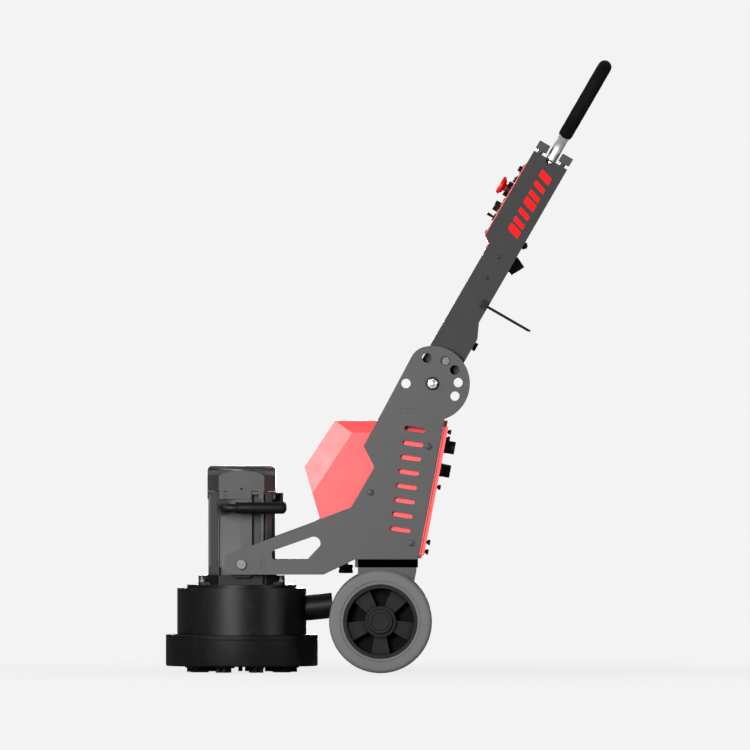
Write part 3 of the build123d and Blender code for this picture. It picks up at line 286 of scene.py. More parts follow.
def sintered(name, color):
    """Diamond segment: a rough sintered matrix with bright crystals."""
    s = Shader(name)
    grit = s.cells(650.0)
    crystals = s.span(grit, 0.18, 0.1)
    matrix = s.mix(s.noise(200.0, 5.0), darker(color, 0.6), color)
    s.link(s.mix(crystals, matrix, CRYSTAL), "Base Color")
    s.set(Metallic=0.7)
    s.link(s.span(grit, 0.0, 0.5, 0.3, 0.7), "Roughness")
    s.relief(grit, 0.4 * MM, 0.6, bevel=0.5 * MM)
    return s.material


def wheel_plastic(name, color):
    """Black nylon: moulded grain, with painted shade darkening the deep pockets."""
    s = Shader(name)
    flow = s.span(s.noise(24.0, 4.0), 0.35, 0.7)
    base = s.mix(flow, darker(color, 0.92), darker(color, 1.08))
    # painted shade: the nylon turns near-black down in the deep pockets, by an ambient-occlusion mask
    s.link(s.mix(s.openness(45 * MM, 0.35, 0.95), darker(color, 0.08), base), "Base Color")
    s.link(s.span(s.noise(90.0, 4.0), 0.3, 0.7, 0.55, 0.68), "Roughness")
    s.set(Specular_IOR_Level=0.05)
    s.relief(s.cells(700.0), 0.06 * MM, 0.35, bevel=0.6 * MM)
    return s.material


def clear_screen(name):
    """A dark display behind a glossy window."""
    s = Shader(name)
    haze = s.span(s.noise(30.0, 5.0), 0.4, 0.7)
    s.link(s.mix(haze, (0.006, 0.012, 0.012), (0.012, 0.02, 0.02)), "Base Color")
    s.link(s.span(haze, 0.0, 1.0, 0.06, 0.16), "Roughness")
    s.set(Coat_Weight=1.0, Coat_Roughness=0.04)
    return s.material


def printed_film(name, color):
    """Screen-printed vinyl: even colour with a faint dot texture and scratches."""
    s = Shader(name)
    wear = s.span(s.noise(1.0, 5.0, 0.7, vector=s.stretch((400.0, 60.0, 90.0))), 0.62, 0.74)
    s.link(s.mix(s.math("MULTIPLY", wear, 0.2), color, darker(color, 0.6)), "Base Color")
    s.link(s.span(s.noise(120.0, 3.0), 0.3, 0.7, 0.45, 0.6), "Roughness")
    s.set(Specular_IOR_Level=0.08)
    s.relief(s.cells(1800.0), 0.02 * MM, 0.3)
    return s.material


# ---- studio finish ----
BACKDROP = 0.896
AMBIENT = 0.05
FLOOR_HALF = 9.0
FLOOR_DROP = 0.0005
FLOOR_NEAR, FLOOR_FAR = 0.45, 1.6
FLOOR_PAPER, FLOOR_GLOW = 0.05, 0.8
FLOOR_BOUNCE_LOW, FLOOR_BOUNCE_HIGH = 0.28, 0.3


def studio_floor(name):
    """A pale seamless floor: glowing paper near the machine, melting into the backdrop further out.

    The camera sees that, and light bounces off a plain matt surface instead.
    """
    s = Shader(name)
    grain = s.span(s.noise(30.0, 4.0), 0.3, 0.7)
    s.link(s.mix(grain, grey(FLOOR_BOUNCE_LOW), grey(FLOOR_BOUNCE_HIGH)), "Base Color")
    s.set(Roughness=0.9, Specular_IOR_Level=0.0)
    output = s.nodes["Material Output"]
    far = s.nodes.new("ShaderNodeEmission")
    far.inputs["Color"].default_value = (*grey(BACKDROP), 1)
    paper = s.nodes.new("ShaderNodeBsdfDiffuse")
    paper.inputs["Color"].default_value = (*grey(FLOOR_PAPER), 1)
    glow = s.nodes.new("ShaderNodeEmission")
    glow.inputs["Color"].default_value = (*grey(FLOOR_GLOW), 1)
    near = s.nodes.new("ShaderNodeAddShader")
    s.links.new(paper.outputs["BSDF"], near.inputs[0])
    s.links.new(glow.outputs["Emission"], near.inputs[1])
    reach = s.nodes.new("ShaderNodeVectorMath")
    reach.operation = "LENGTH"
    s.links.new(s.coords, reach.inputs[0])
    fade = s.nodes.new("ShaderNodeMixShader")
    s.links.new(s.span(reach.outputs["Value"], FLOOR_NEAR, FLOOR_FAR), fade.inputs["Fac"])
    s.links.new(near.outputs["Shader"], fade.inputs[1])
    s.links.new(far.outputs["Emission"], fade.inputs[2])
    path = s.nodes.new("ShaderNodeLightPath")
    shown = s.nodes.new("ShaderNodeMixShader")
    s.links.new(path.outputs["Is Camera Ray"], shown.inputs["Fac"])
    s.links.new(s.bsdf.outputs["BSDF"], shown.inputs[1])
    s.links.new(fade.outputs["Shader"], shown.inputs[2])
    s.links.new(shown.outputs["Shader"], output.inputs["Surface"])
    return s.material


# ---- finishes, by the record's material slot ----
LONG_GRAIN = (60.0, 60.0, 2600.0)
TURNED_GRAIN = (300.0, 300.0, 40.0)
EVEN_GRAIN = (300.0, 300.0, 300.0)

FINISHES = {
    "frame_grey": painted("frame_grey_coat", grey(0.033), 0.5, 0.35, worn=grey(0.12)),
    "arm_grey": painted("arm_grey_coat", (0.0068, 0.0068, 0.0071), 0.52, 0.3, worn=grey(0.06), wear=0.25),
    "cap_grey": painted("cap_grey_coat", (0.018, 0.018, 0.019), 0.5, 0.35, worn=grey(0.08)),
    "signal_red": painted("signal_red_coat", (0.72, 0.064, 0.066), 0.33, 0.45, worn=(0.5, 0.2, 0.2),
                          wear=0.3),
    "drum_black": painted("drum_black_coat", grey(0.0018), 0.42, 0.18, worn=grey(0.03), wear=0.3),
    "motor_grey": cast_motor("motor_grey_coat", grey(0.038)),
    "cowl_grey": painted("cowl_grey_coat", grey(0.04), 0.38, 0.25, worn=grey(0.1), metallic=0.6),
    "black_steel": painted("black_steel_oxide", grey(0.0018), 0.45, 0.18, worn=grey(0.04), wear=0.4),
    "zinc_steel": bare_metal("zinc_plate", (0.13, 0.13, 0.128), 0.5),
    "bright_chrome": bare_metal("chrome_plate", (0.93, 0.93, 0.94), 0.5, grain=EVEN_GRAIN),
    "tyre_grey": rubber("tyre_grey_rubber", grey(0.084), specular=0.2),
    "rim_black": wheel_plastic("rim_black_plastic", grey(0.0128)),
    "rubber_black": rubber("black_rubber", grey(0.002), 0.55, dusty=0.01, specular=0.1),
    "grip_foam": foam("grip_black_foam", grey(0.0021)),
    "plastic_black": moulded("black_plastic", grey(0.0018), 0.5, specular=0.15),
    "button_red": moulded("button_red_plastic", (0.5, 0.003, 0.003), 0.3, depth=0.02, specular=0.3),
    "button_green": moulded("button_green_plastic", (0.005, 0.14, 0.03), 0.3, depth=0.02, specular=0.3),
    "copper_core": bare_metal("laminated_core", (0.1, 0.08, 0.06), 0.5, grain=LONG_GRAIN),
    "disc_steel": bare_metal("machined_steel", grey(0.08), 0.45, grain=TURNED_GRAIN),
    "diamond_metal": sintered("sintered_bond", (0.035, 0.03, 0.02)),
}
SCREEN = clear_screen("display_glass")
# painted shade: the base plate's black rubber, made near-black and without gloss to stand in for the shadow under
# the frame
BASE_PAD_PAINTED_SHADE = rubber("base_pad_rubber_painted_shade", grey(0.0004), 0.7, dusty=0.002, specular=0.0)
BRIGHT_ZINC = bare_metal("bright_zinc_plate", (0.62, 0.62, 0.6), 0.34)
INK_WHITE = moulded("printed_white", grey(0.25), 0.5, depth=0.01)
DECAL_RED = printed_film("decal_red_film", (0.5, 0.0035, 0.0032))


# ---- mesh helpers ----
WELD_REACH = 1e-6
FLAT_FACETS, ROUND_SKIN = 25.0, 60.0


def piece(name, build, body, slot, material=None, smooth=40.0):
    """A new mesh piece from a function that fills a bmesh, riding on a CAD body."""
    mesh = bpy.data.meshes.new(name)
    filled = bmesh.new()
    build(filled)
    bmesh.ops.remove_doubles(filled, verts=filled.verts, dist=WELD_REACH)
    bmesh.ops.recalc_face_normals(filled, faces=filled.faces)
    filled.to_mesh(mesh)
    filled.free()
    made = bpy.data.objects.new(name, mesh)
    bpy.context.scene.collection.objects.link(made)
    mesh.materials.append(material or FINISHES[slot])
    for polygon in mesh.polygons:
        polygon.use_smooth = True
    mesh.set_sharp_from_angle(angle=math.radians(smooth))
    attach(made, body)
    return made


def skin(filled, rings, closed_rings=False):
    """Quads between rings of points that all hold the same number of points."""
    made = [[filled.verts.new(point) for point in ring] for ring in rings]
    count = len(made[0])
    pairs = list(zip(made, made[1:]))
    if closed_rings:
        pairs.append((made[-1], made[0]))
    for first, second in pairs:
        for number in range(count):
            after = (number + 1) % count
            filled.faces.new((first[number], first[after], second[after], second[number]))
    return made


def capped(filled, rings):
    """A skin closed by a flat face at both ends."""
    made = skin(filled, rings)
    filled.faces.new(list(reversed(made[0])))
    filled.faces.new(made[-1])


def spokes(axis, segments):
    """The turn angles round an axis, each with its outward direction."""
    side = axis.orthogonal().normalized()
    other = axis.cross(side)
    turns = [2 * math.pi * number / segments for number in range(segments)]
    return [(turn, side * math.cos(turn) + other * math.sin(turn)) for turn in turns]


def arc_points(centre, radius, start, end, steps):
    """Points of an arc as (across, along), with its angles in degrees."""
    turns = [math.radians(start + (end - start) * step / steps) for step in range(steps + 1)]
    return [(centre[0] + radius * math.cos(turn), centre[1] + radius * math.sin(turn)) for turn in turns]


def lathe(filled, profile, origin, axis, segments):
    """A closed profile of (radius, along) points in metres, turned about an axis through origin."""
    axis = Vector(axis).normalized()
    rings = []
    for _, out in spokes(axis, segments):
        rings.append([Vector(origin) + out * radius + axis * along for radius, along in profile])
    skin(filled, rings, closed_rings=True)


def turned(filled, rings, origin, axis, segments):
    """A closed solid of (radius, along) rings in millimetres about an axis.

    Either number may be a function of the turn angle.
    """
    axis = Vector(axis).normalized()
    loops = []
    for radius, along in rings:
        loop = []
        for turn, out in spokes(axis, segments):
            reach = radius(turn) if callable(radius) else radius
            rise = along(turn) if callable(along) else along
            loop.append(Vector(origin) + (out * reach + axis * rise) * MM)
        loops.append(loop)
    capped(filled, loops)


def hexagon_radius(flats):
    """How far a hexagon reaches from its centre, as a function of the angle."""
    def reach(turn):
        return flats / 2 / math.cos((turn + math.pi / 6) % (math.pi / 3) - math.pi / 6)
    return reach


def hexagon_nut(filled, origin, axis, flats, height):
    """A nut or bolt head with its corners turned down, in millimetres from its seat."""
    reach = hexagon_radius(flats)
    crown = flats / 2 * 0.96
    foot = 0.4
    mouth = flats * 0.3

    def shoulder(turn):
        return height - (reach(turn) - crown) * math.tan(math.radians(30))

    rings = [(crown, 0), (reach, foot), (reach, shoulder), (crown, height), (mouth, height)]
    turned(filled, rings, origin, axis, 72)


def button_head(filled, origin, axis, radius, height, key):
    """A domed socket screw's head, with its hexagon recess."""
    recess = hexagon_radius(key)
    foot, brow = 0.3, 0.15
    rings = [(radius - foot, 0), (radius, foot)]
    for turn in [math.radians(angle) for angle in (0, 15, 30, 45, 58)]:
        rings.append((radius * math.cos(turn), height * (0.3 + 0.7 * math.sin(turn))))
    rings.append((lambda turn: recess(turn) + brow, height))
    rings += [(recess, height - foot), (recess, height * 0.45), (0.3, height * 0.4)]
    turned(filled, rings, origin, axis, 48)


def islands(node):
    """The boxes of the separate solids that a CAD node holds, as (low, high) corners."""
    joined = bmesh.new()
    joined.from_mesh(frame["nodes"][node].data)
    bmesh.ops.remove_doubles(joined, verts=joined.verts, dist=10 * WELD_REACH)
    left = set(joined.verts)
    boxes = []
    while left:
        reached, waiting = [], [left.pop()]
        while waiting:
            vertex = waiting.pop()
            reached.append(vertex.co)
            for edge in vertex.link_edges:
                other = edge.other_vert(vertex)
                if other in left:
                    left.discard(other)
                    waiting.append(other)
        boxes.append((Vector([min(p[i] for p in reached) for i in range(3)]),
                      Vector([max(p[i] for p in reached) for i in range(3)])))
    joined.free()
    return sorted(boxes, key=lambda pair: tuple(round(value, 5) for value in (*pair[0], *pair[1])))


def face_normal(node, towards):
    """The average direction of a CAD node's faces that look a given way."""
    total = Vector()
    for polygon in frame["nodes"][node].data.polygons:
        if polygon.normal.dot(Vector(towards)) > 0.9:
            total += polygon.normal * polygon.area
    return total.normalized()


def corner_arc(before, here, after, radius, steps):
    """The points that round off one corner of a plane path."""
    to_before = (before - here).normalized()
    to_after = (after - here).normalized()
    half = to_before.angle(to_after) / 2
    reach = radius / math.tan(half)
    centre = here + (to_before + to_after).normalized() * (radius / math.sin(half))
    first = (here + to_before * reach - centre).normalized()
    last = (here + to_after * reach - centre).normalized()
    return [centre + first.slerp(last, step / steps) * radius for step in range(steps + 1)]


def rounded_outline(corners, radius, steps=6):
    """A closed outline in the plane, with its corners rounded."""
    points = [Vector(corner) for corner in corners]
    outline = []
    for before, here, after in zip(points[-1:] + points, points, points[1:] + points[:1]):
        outline += corner_arc(before, here, after, radius, steps)
    return outline


def prism(filled, outline, place, thickness, edge=0.0):
    """A plate from a plane outline; place(x, y, height) gives the point, and edge bevels its top."""
    rings = [[place(p.x, p.y, 0) for p in outline]]
    if edge:
        centre = sum(outline, Vector((0, 0))) / len(outline)
        shrink = 1 - edge / max((p - centre).length for p in outline)
        rings.append([place(p.x, p.y, thickness - edge) for p in outline])
        rings.append([place(*(centre + (p - centre) * shrink), thickness) for p in outline])
    else:
        rings.append([place(p.x, p.y, thickness) for p in outline])
    capped(filled, rings)


def sleeve_along(filled, path, radius_at, bore, end_u, segments=40):
    """A round sleeve along a path, with its ends cut square to the arm at end_u."""
    outside, inside = [], []
    last = len(path) - 1
    turns = [2 * math.pi * step / segments for step in range(segments)]
    for number, point in enumerate(path):
        before, after = path[max(number - 1, 0)], path[min(number + 1, last)]
        along = (after - before).normalized()
        side = (W_DIR - along * W_DIR.dot(along)).normalized()
        other = along.cross(side)
        outs = [side * math.cos(turn) + other * math.sin(turn) for turn in turns]
        loops = [[point + out * radius for out in outs] for radius in (radius_at(number), bore)]
        if number in (0, last):
            for loop in loops:
                slide = [(end_u - (p - PIVOT).dot(U_DIR)) / along.dot(U_DIR) for p in loop]
                loop[:] = [p + along * far for p, far in zip(loop, slide)]
        outside.append(loops[0])
        inside.append(loops[1])
    skin(filled, outside + list(reversed(inside)), closed_rings=True)


# ---- camera ----
PICTURE_WIDTH = 1.575  # metres across, at the machine's near side
PICTURE_CENTRE = Vector((-0.0282, 0, 0.6252))
NEAR_SIDE_Y = -0.098
CAMERA_LENS = 800.0
SENSOR = 36.0


def make_camera():
    data = bpy.data.cameras.new("camera")
    data.sensor_width = SENSOR
    data.lens = CAMERA_LENS
    distance = PICTURE_WIDTH * CAMERA_LENS / SENSOR
    data.clip_start, data.clip_end = 1.0, 200.0
    camera = bpy.data.objects.new("camera", data)
    bpy.context.scene.collection.objects.link(camera)
    camera.location = (PICTURE_CENTRE.x, NEAR_SIDE_Y - distance, PICTURE_CENTRE.z)
    camera.rotation_euler = (math.radians(90), 0, 0)
    bpy.context.scene.camera = camera


# ---- studio ----
LIT_MIDDLE = Vector((0, 0, 0.5))
LIGHTS = (  # name, place, width and height, watts
    ("key", (-2.0, -4.9, 1.5), (1.5, 2.2), 480),
    ("strip", (4.1, -3.0, 0.9), (0.6, 2.4), 110),
    ("side_left", (-4.0, -1.95, 3.0), (1.1, 1.6), 120),
    ("back_left", (-2.2, 3.4, 5.0), (5.0, 4.0), 70),
    ("back_right", (3.2, 3.2, 4.6), (5.0, 4.0), 80),
    ("back_low", (0.2, 5.6, 0.7), (1.2, 1.2), 220),
)


def area_light(name, place, size, power):
    """A rectangular lamp, aimed at the machine's middle and hidden from the camera."""
    data = bpy.data.lights.new(name, "AREA")
    data.shape = "RECTANGLE"
    data.size, data.size_y = size
    data.energy = power
    light = bpy.data.objects.new(name, data)
    bpy.context.scene.collection.objects.link(light)
    light.location = place
    light.rotation_euler = (LIT_MIDDLE - Vector(place)).to_track_quat("-Z", "Y").to_euler()
    light.visible_camera = False


def make_world():
    """The camera sees a pale backdrop, and the machine gets only a little light from it."""
    world = bpy.data.worlds.new("studio")
    bpy.context.scene.world = world
    world.use_nodes = True
    nodes, links = world.node_tree.nodes, world.node_tree.links
    nodes.clear()
    output = nodes.new("ShaderNodeOutputWorld")
    seen = nodes.new("ShaderNodeBackground")
    lit = nodes.new("ShaderNodeBackground")
    seen.inputs["Color"].default_value = (*grey(BACKDROP), 1)
    lit.inputs["Color"].default_value = (*grey(1), 1)
    lit.inputs["Strength"].default_value = AMBIENT
    path = nodes.new("ShaderNodeLightPath")
    mixed = nodes.new("ShaderNodeMixShader")
    links.new(path.outputs["Is Camera Ray"], mixed.inputs["Fac"])
    links.new(lit.outputs["Background"], mixed.inputs[1])
    links.new(seen.outputs["Background"], mixed.inputs[2])
    links.new(mixed.outputs["Shader"], output.inputs["Surface"])


def make_floor():
    mesh = bpy.data.meshes.new("floor")
    corners = [(-FLOOR_HALF, -FLOOR_HALF, 0), (FLOOR_HALF, -FLOOR_HALF, 0)]
    corners += [(FLOOR_HALF, FLOOR_HALF, 0), (-FLOOR_HALF, FLOOR_HALF, 0)]
    mesh.from_pydata(corners, [], [range(4)])
    mesh.materials.append(studio_floor("floor_paper"))
    floor = bpy.data.objects.new("floor", mesh)
    bpy.context.scene.collection.objects.link(floor)
    floor.location.z = -FLOOR_DROP


def make_studio():
    make_world()
    for light in LIGHTS:
        area_light(*light)
    make_floor()
    bpy.context.scene.view_settings.view_transform = "Standard"
    bpy.context.scene.view_settings.look = "None"


# ---- pieces: rubber parts, turned profiles in metres ----
TIGHT = 0.05 * MM  # how far a sleeve's bore stays clear of what it sits on
CORE = 0.1 * MM  # the smallest radius of a solid turned profile
UP = (0, 0, 1)


def half_size(node, axis):
    """Half of a CAD node's size along one axis."""
    low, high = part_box(node)
    return (high[axis] - low[axis]) / 2


def middle_of(node):
    low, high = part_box(node)
    return (low + high) / 2


def make_tyre(name, rim, body):
    """A solid grey tyre: rounded shoulders, a bead ring and fine grooves round its tread."""
    radius, half = half_size(name, 2), half_size(name, 1)
    inner = half_size(rim, 2) + TIGHT
    shoulder = 9 * MM
    bead_in, bead_out, bead_depth = inner + 5 * MM, inner + 8.5 * MM, 1.4 * MM
    groove_from, groove_to, groove_depth = half - 13 * MM, half - 16.2 * MM, 1.6 * MM
    groove_slope = 0.8 * MM
    outline = [(inner, 0.0), (inner, half - 3 * MM), (inner + 1.5 * MM, half - 0.8 * MM)]
    outline += [(bead_in, half - 0.4 * MM), (bead_in + 1 * MM, half - bead_depth)]
    outline += [(bead_out - 1 * MM, half - bead_depth), (bead_out, half)]
    outline += arc_points((radius - shoulder, half - shoulder), shoulder, 90, 8, 7)
    outline += [(radius, groove_from), (radius - groove_depth, groove_from - groove_slope)]
    outline += [(radius - groove_depth, groove_to + groove_slope), (radius, groove_to), (radius, 0.0)]
    mirrored = [(reach, -along) for reach, along in reversed(outline)]
    profile = outline + mirrored[1:-1]

    def tyre(filled):
        lathe(filled, profile, middle_of(name), Y_DIR, 160)

    made = piece(f"{name}_rubber", tyre, body, "tyre_grey")
    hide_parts(name)


def make_skirt():
    """The drum's rubber skirt: a rolled top edge, a clamping band line and a soft foot."""
    low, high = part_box("dust_skirt")
    centre = (low + high) / 2
    top, foot = high.z, low.z
    out = half_size("dust_skirt", 0)
    inside = half_size("dust_drum", 0) + TIGHT
    wall, roll, overlap = 6 * MM, 2.5 * MM, 5 * MM
    line_from, line_to, line_depth, line_slope = top - 9 * MM, top - 11.2 * MM, 0.7 * MM, 0.6 * MM
    profile = [(inside, top - overlap), (inside, top)]
    profile += arc_points((out - roll, top - roll), roll, 90, 0, 5)
    profile += [(out, line_from), (out - line_depth, line_from - line_slope)]
    profile += [(out - line_depth, line_to + line_slope), (out, line_to)]
    profile += [(out, foot + 4 * MM), (out - 0.6 * MM, foot + 1.2 * MM), (out - 2 * MM, foot)]
    profile += [(out - wall + 1 * MM, foot), (out - wall, foot + 1 * MM), (out - wall, top - overlap)]

    def skirt(filled):
        lathe(filled, profile, (centre.x, centre.y, 0), UP, 192)

    made = piece("dust_skirt_rubber", skirt, "head", "rubber_black")
    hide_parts("dust_skirt")


def make_buffer():
    """The rubber buffer under the frame: a waisted puck."""
    low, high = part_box("rest_buffer")
    centre = (low + high) / 2
    out = half_size("rest_buffer", 0)
    tall = high.z - low.z
    profile = [(CORE, 0), (out - 2 * MM, 0), (out - 0.6 * MM, 0.6 * MM), (out, 2.2 * MM)]
    profile += [(out, tall * 0.3), (out - 1.6 * MM, tall * 0.5), (out, tall * 0.7)]
    profile += [(out, tall - 2 * MM), (out - 1 * MM, tall), (CORE, tall)]

    def puck(filled):
        lathe(filled, profile, (centre.x, centre.y, low.z), UP, 64)

    made = piece("rest_buffer_rubber", puck, "chassis", "rubber_black")
    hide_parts("rest_buffer")


def make_lift_grips():
    """Rubber sleeves on the lifting handles: a rolled collar, a plain barrel and a domed end."""
    low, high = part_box("lift_grips")
    radius = half_size("lift_grips", 2)
    length = high.x - low.x
    dome = 9 * MM
    profile = [(CORE, 0), (radius - 2 * MM, 0), (radius - 0.5 * MM, 0.6 * MM), (radius, 2 * MM)]
    profile += [(radius, 4.5 * MM), (radius - 0.8 * MM, 5.5 * MM), (radius - 0.4 * MM, 7 * MM)]
    profile += [(radius - 0.2 * MM, length - dome)]
    profile += arc_points((radius - dome, length - dome), dome, 15, 90, 5)
    profile += [(CORE, length)]

    def both(filled):
        for side in SIDES:
            y = side * (high.y - radius)
            lathe(filled, profile, (low.x, y, (low.z + high.z) / 2), (1, 0, 0), 48)

    made = piece("lift_grip_rubbers", both, "head", "rubber_black")
    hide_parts("lift_grips")


# ---- pieces: the handle's grip, in arm coordinates and millimetres ----
TUBE_W = 18.7
NECK_Y, LOOP_Y = 52.0, 140.0
NECK_U, SHOULDER_U, LOOP_END_U = 566.0, 636.0, 756.5
GRIP_FROM_U = 592.0
BEND_R = 34.0
GRIP_R, TUBE_R = 14.5, 11.0
PATH_STEP = 6.0


def loop_path():
    """The handle loop's centre line with its corners rounded, from one grip end to the other."""
    slope = (LOOP_Y - NECK_Y) / (SHOULDER_U - NECK_U)
    start_y = NECK_Y + (GRIP_FROM_U - NECK_U) * slope
    corners = [(GRIP_FROM_U, -start_y), (SHOULDER_U, -LOOP_Y), (LOOP_END_U, -LOOP_Y)]
    corners += [(u, -y) for u, y in reversed(corners)]
    corners = [Vector(corner) for corner in corners]
    flat = [corners[0]]
    for before, here, after in zip(corners, corners[1:], corners[2:]):
        flat += corner_arc(before, here, after, BEND_R, 10)
    flat.append(corners[-1])
    path = []
    for here, after in zip(flat, flat[1:]):
        steps = max(1, round((after - here).length / PATH_STEP))
        path += [here.lerp(after, step / steps) for step in range(steps)]
    path.append(flat[-1])
    return [arm_point(p.x, TUBE_W, p.y) for p in path]


def make_handle_grip():
    """The foam sleeve over the handle's loop, rolled in at both ends."""
    path = loop_path()
    last = len(path) - 1
    rolled_in, ripple = 0.8, 0.12

    def radius_at(number):
        rolled = rolled_in if number in (0, last) else 0.0
        return (GRIP_R - rolled + ripple * math.sin(number * 0.9) - ripple) * MM

    def sleeve(filled):
        sleeve_along(filled, path, radius_at, (TUBE_R + 0.02) * MM, GRIP_FROM_U * MM)

    made = piece("handle_grip_foam", sleeve, "handle", "grip_foam", smooth=ROUND_SKIN)
    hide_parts("handle_grip")


# ---- pieces: the arm's markings and its panel ----
CHEEK_Y = 75.0
BAR_COUNT = 7
BAR_FROM_U, BAR_STEP, BAR_LENGTH = 352.0, 21.5, 13.0
BAR_LOW_W, BAR_HIGH_W, BAR_LEAN = -3.0, 25.0, 9.0
BAR_CORNER_R = 1.6
FILM, FILM_GAP = 0.25, 0.02


def make_decals():
    """Plain slanted red bars on both cheeks of the arm."""
    def bars(filled):
        for side in SIDES:
            def place(u, w, out):
                return arm_point(u, w, side * (CHEEK_Y + FILM_GAP + out))

            for number in range(BAR_COUNT):
                u = BAR_FROM_U + number * BAR_STEP
                long = BAR_LENGTH * (1.25 if number % 3 == 0 else 0.85)
                corners = [(u, BAR_LOW_W), (u + long, BAR_LOW_W)]
                corners += [(u + long + BAR_LEAN, BAR_HIGH_W), (u + BAR_LEAN, BAR_HIGH_W)]
                prism(filled, rounded_outline(corners, BAR_CORNER_R), place, FILM)

    piece("arm_decal_bars", bars, "handle", "signal_red", DECAL_RED)


PANEL_OUT_W = 61.2
DISPLAY_U, DISPLAY_Y = 427, 44
BEZEL_HALF_U, BEZEL_HALF_Y, BEZEL_T = 16, 26, 2.2
RIM = 5
DIAL_U, DIAL_Y, DIAL_R = 392, 30, 16.5
TICK_COUNT, DIAL_SWEEP = 11, 270
TICK_HALF, TICK_LONG, TICK_SHORT, TICK_T = 0.5, 4.0, 2.5, 0.2
PANEL_SCREW_U, PANEL_SCREW_Y = (334, 412, 491), 67


def panel_rectangle(half_u, half_y, radius):
    corners = [(-half_u, -half_y), (half_u, -half_y), (half_u, half_y), (-half_u, half_y)]
    return rounded_outline(corners, radius)


def make_panel_details():
    """The display, the dial's ticks and the panel's screws."""
    def on_panel(u0, y0, lift=0.0):
        return lambda x, y, out: arm_point(u0 + x, PANEL_OUT_W + lift + out, y0 + y)

    def bezel(filled):
        outline = panel_rectangle(BEZEL_HALF_U, BEZEL_HALF_Y, 4.0)
        prism(filled, outline, on_panel(DISPLAY_U, DISPLAY_Y), BEZEL_T, edge=0.8)

    def window(filled):
        outline = panel_rectangle(BEZEL_HALF_U - RIM, BEZEL_HALF_Y - RIM, 2.0)
        prism(filled, outline, on_panel(DISPLAY_U, DISPLAY_Y, BEZEL_T - 0.2), 0.6, edge=0.25)

    def ticks(filled):
        for number in range(TICK_COUNT):
            turn = math.radians(DIAL_SWEEP * (number / (TICK_COUNT - 1) - 0.5))
            long = TICK_LONG if number % 5 == 0 else TICK_SHORT
            along = Vector((math.cos(turn), math.sin(turn)))
            side = Vector((-along.y, along.x)) * TICK_HALF
            near, far = along * DIAL_R, along * (DIAL_R + long)
            corners = [near - side, far - side, far + side, near + side]
            prism(filled, corners, on_panel(DIAL_U, DIAL_Y), TICK_T)

    def screws(filled):
        head_r, recess_r = 3.6, 1.7
        head = [(0.01, 0), (head_r, 0), (head_r, 1.0), (3.2, 1.7), (2.2, 2.1)]
        head += [(recess_r, 2.1), (recess_r - 0.1, 1.2), (0.01, 1.2)]
        profile = [(reach * MM, along * MM) for reach, along in head]
        for u in PANEL_SCREW_U:
            for side in SIDES:
                lathe(filled, profile, arm_point(u, PANEL_OUT_W, side * PANEL_SCREW_Y), W_DIR, 24)

    piece("display_bezel", bezel, "handle", "plastic_black")
    piece("display_window", window, "handle", "plastic_black", SCREEN)
    piece("dial_ticks", ticks, "handle", "plastic_black", INK_WHITE)
    piece("panel_screws", screws, "handle", "black_steel")


# ---- pieces: bolts, nuts and screws, in millimetres ----
PIVOT_R = 8.0
PIVOT_NUT_FLATS, PIVOT_NUT_T = 19.0, 6.5
PIVOT_WASHER_R, PIVOT_WASHER_T = 13.9, 2.7
WASHER_GAP = 0.2
THREAD_TURNS, THREAD_STEP, THREAD_DEPTH, THREAD_LENGTH = 14, 0.6, 0.5, 12
PLATE_HEAD_R, PLATE_HEAD_T, PLATE_KEY = 7.0, 3.9, 4.0
COVER_HEAD_R, COVER_HEAD_T, COVER_SHANK_R = 5.0, 3.9, 3.1
FLUTES, FLUTE_DEPTH = 10, 0.45
ARM_NUT_FLATS, ARM_NUT_T = 13.0, 6.0
ARM_STUD_R = 3.9
ARM_BUTTON_R, ARM_BUTTON_T, ARM_KEY = 4.0, 1.6, 2.5


def make_pivot():
    """The handle's cross bolt: a bright nut on a black washer at each end, and a cut thread."""
    centre = Vector((PIVOT.x, 0, PIVOT.z))
    plate_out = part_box("side_plate_left")[1].y / MM
    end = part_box("pivot_bolt")[1].y / MM
    thread = PIVOT_R - 0.2

    def bolt(filled):
        rings = [(PIVOT_R - 2.0, -end), (thread, -end + 1.4)]
        for number in range(THREAD_TURNS):
            rings.append((thread - THREAD_DEPTH * (number % 2), -end + 1.8 + number * THREAD_STEP))
        rings.append((PIVOT_R, -end + THREAD_LENGTH))
        rings += [(radius, -along) for radius, along in reversed(rings)]
        turned(filled, rings, centre, Y_DIR, 64)

    def nuts(filled):
        for side in SIDES:
            seat = centre + Y_DIR * side * (plate_out + WASHER_GAP + PIVOT_WASHER_T) * MM
            hexagon_nut(filled, seat, Y_DIR * side, PIVOT_NUT_FLATS, PIVOT_NUT_T)

    def washers(filled):
        soft = 0.5
        rings = [(PIVOT_WASHER_R - soft, 0), (PIVOT_WASHER_R, 0.4), (PIVOT_WASHER_R, PIVOT_WASHER_T - soft)]
        rings += [(PIVOT_WASHER_R - soft, PIVOT_WASHER_T), (PIVOT_R + 1.0, PIVOT_WASHER_T)]
        for side in SIDES:
            seat = centre + Y_DIR * side * (plate_out + WASHER_GAP) * MM
            turned(filled, rings, seat, Y_DIR * side, 64)

    made = piece("pivot_bolt_shank", bolt, "chassis", "zinc_steel", BRIGHT_ZINC)
    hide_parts("pivot_bolt")
    piece("pivot_nuts", nuts, "chassis", "zinc_steel", BRIGHT_ZINC, smooth=FLAT_FACETS)
    piece("pivot_washers", washers, "chassis", "black_steel")


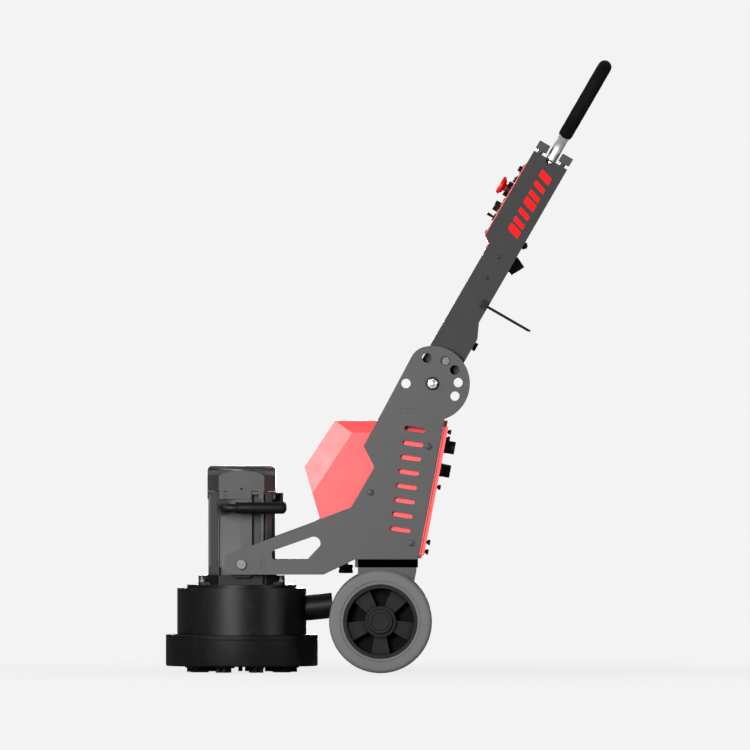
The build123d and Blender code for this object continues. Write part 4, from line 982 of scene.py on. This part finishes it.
def make_frame_screws():
    """Socket buttons through the side plates, and the rear cover's fluted screws."""
    rear = face_normal("rear_cover", (1, 0, 0))
    plate_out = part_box("side_plate_left")[1].y
    plate_places, cover_places = [], []
    for low, high in islands("frame_screws"):
        centre = (low + high) / 2
        wide = (high.z - low.z) / MM
        if abs(wide - 2 * PLATE_HEAD_R) < 0.5:
            plate_places.append(Vector((centre.x, math.copysign(plate_out, centre.y), centre.z)))
        else:
            cover_places.append(centre)

    def plate_heads(filled):
        for place in plate_places:
            outward = (0, place.y, 0)
            button_head(filled, place, outward, PLATE_HEAD_R - 0.05, PLATE_HEAD_T, PLATE_KEY)

    def fluted(turn):
        return COVER_HEAD_R - FLUTE_DEPTH * max(0.0, math.cos(FLUTES * turn))

    def cover_heads(filled):
        rings = [(COVER_SHANK_R, -COVER_HEAD_T), (COVER_SHANK_R, -1.0), (COVER_HEAD_R - 0.9, -1.0)]
        rings += [(fluted, -0.4), (fluted, COVER_HEAD_T - 0.7), (COVER_HEAD_R - 1.0, COVER_HEAD_T)]
        rings += [(1.2, COVER_HEAD_T), (1.0, COVER_HEAD_T - 0.7)]
        for place in cover_places:
            turned(filled, rings, place, rear, 80)

    made = piece("side_plate_bolts", plate_heads, "chassis", "frame_grey")
    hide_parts("frame_screws")
    made = piece("rear_cover_screws", cover_heads, "chassis", "black_steel")
    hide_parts("frame_screws")


def make_arm_bolts():
    """Nuts on studs on the arm's rear face, and socket buttons up its cheeks."""
    hexagons, buttons = [], []
    for low, high in islands("arm_bolts"):
        centre = (low + high) / 2
        if abs(centre.y) < CHEEK_Y * MM:
            hexagons.append(centre)
        else:
            buttons.append(Vector((centre.x, math.copysign(CHEEK_Y * MM, centre.y), centre.z)))

    def hexagon_heads(filled):
        for centre in hexagons:
            seat = centre + W_DIR * 4.5 * MM
            hexagon_nut(filled, seat, -W_DIR, ARM_NUT_FLATS, ARM_NUT_T)
            stud = [(ARM_STUD_R, ARM_NUT_T - 0.1), (ARM_STUD_R, 8.3), (ARM_STUD_R - 0.6, 8.9)]
            turned(filled, stud, seat, -W_DIR, 32)

    def button_heads(filled):
        for place in buttons:
            outward = (0, place.y, 0)
            button_head(filled, place, outward, ARM_BUTTON_R, ARM_BUTTON_T, ARM_KEY)

    made = piece("arm_hexagon_bolts", hexagon_heads, "handle", "black_steel", smooth=FLAT_FACETS)
    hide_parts("arm_bolts")
    made = piece("arm_button_bolts", button_heads, "handle", "arm_grey")
    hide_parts("arm_bolts")


def dress_cad():
    """Each shown CAD node gets the finish of its slot in the record; the base plate then gets a near-black rubber,
    darkened further as painted shade.
    """
    slot_of = {row["node"]: row["material_slot"] for row in frame["record"]["subparts"]}
    for name, node in frame["nodes"].items():
        node.data.materials.clear()
        node.data.materials.append(FINISHES[slot_of[name]])
    # painted shade: the base plate is darkened past its black rubber to stand in for the shadow it sits in
    base = frame["nodes"]["base_plate"].data
    base.materials[0] = BASE_PAD_PAINTED_SHADE


# ---- build ----
make_camera()
dress_cad()
for side_name in ("left", "right"):
    make_tyre(f"tyre_{side_name}", f"rim_{side_name}", f"wheel_{side_name}")
make_skirt()
make_buffer()
make_lift_grips()
make_handle_grip()
make_decals()
make_panel_details()
make_pivot()
make_frame_screws()
make_arm_bolts()
make_studio()
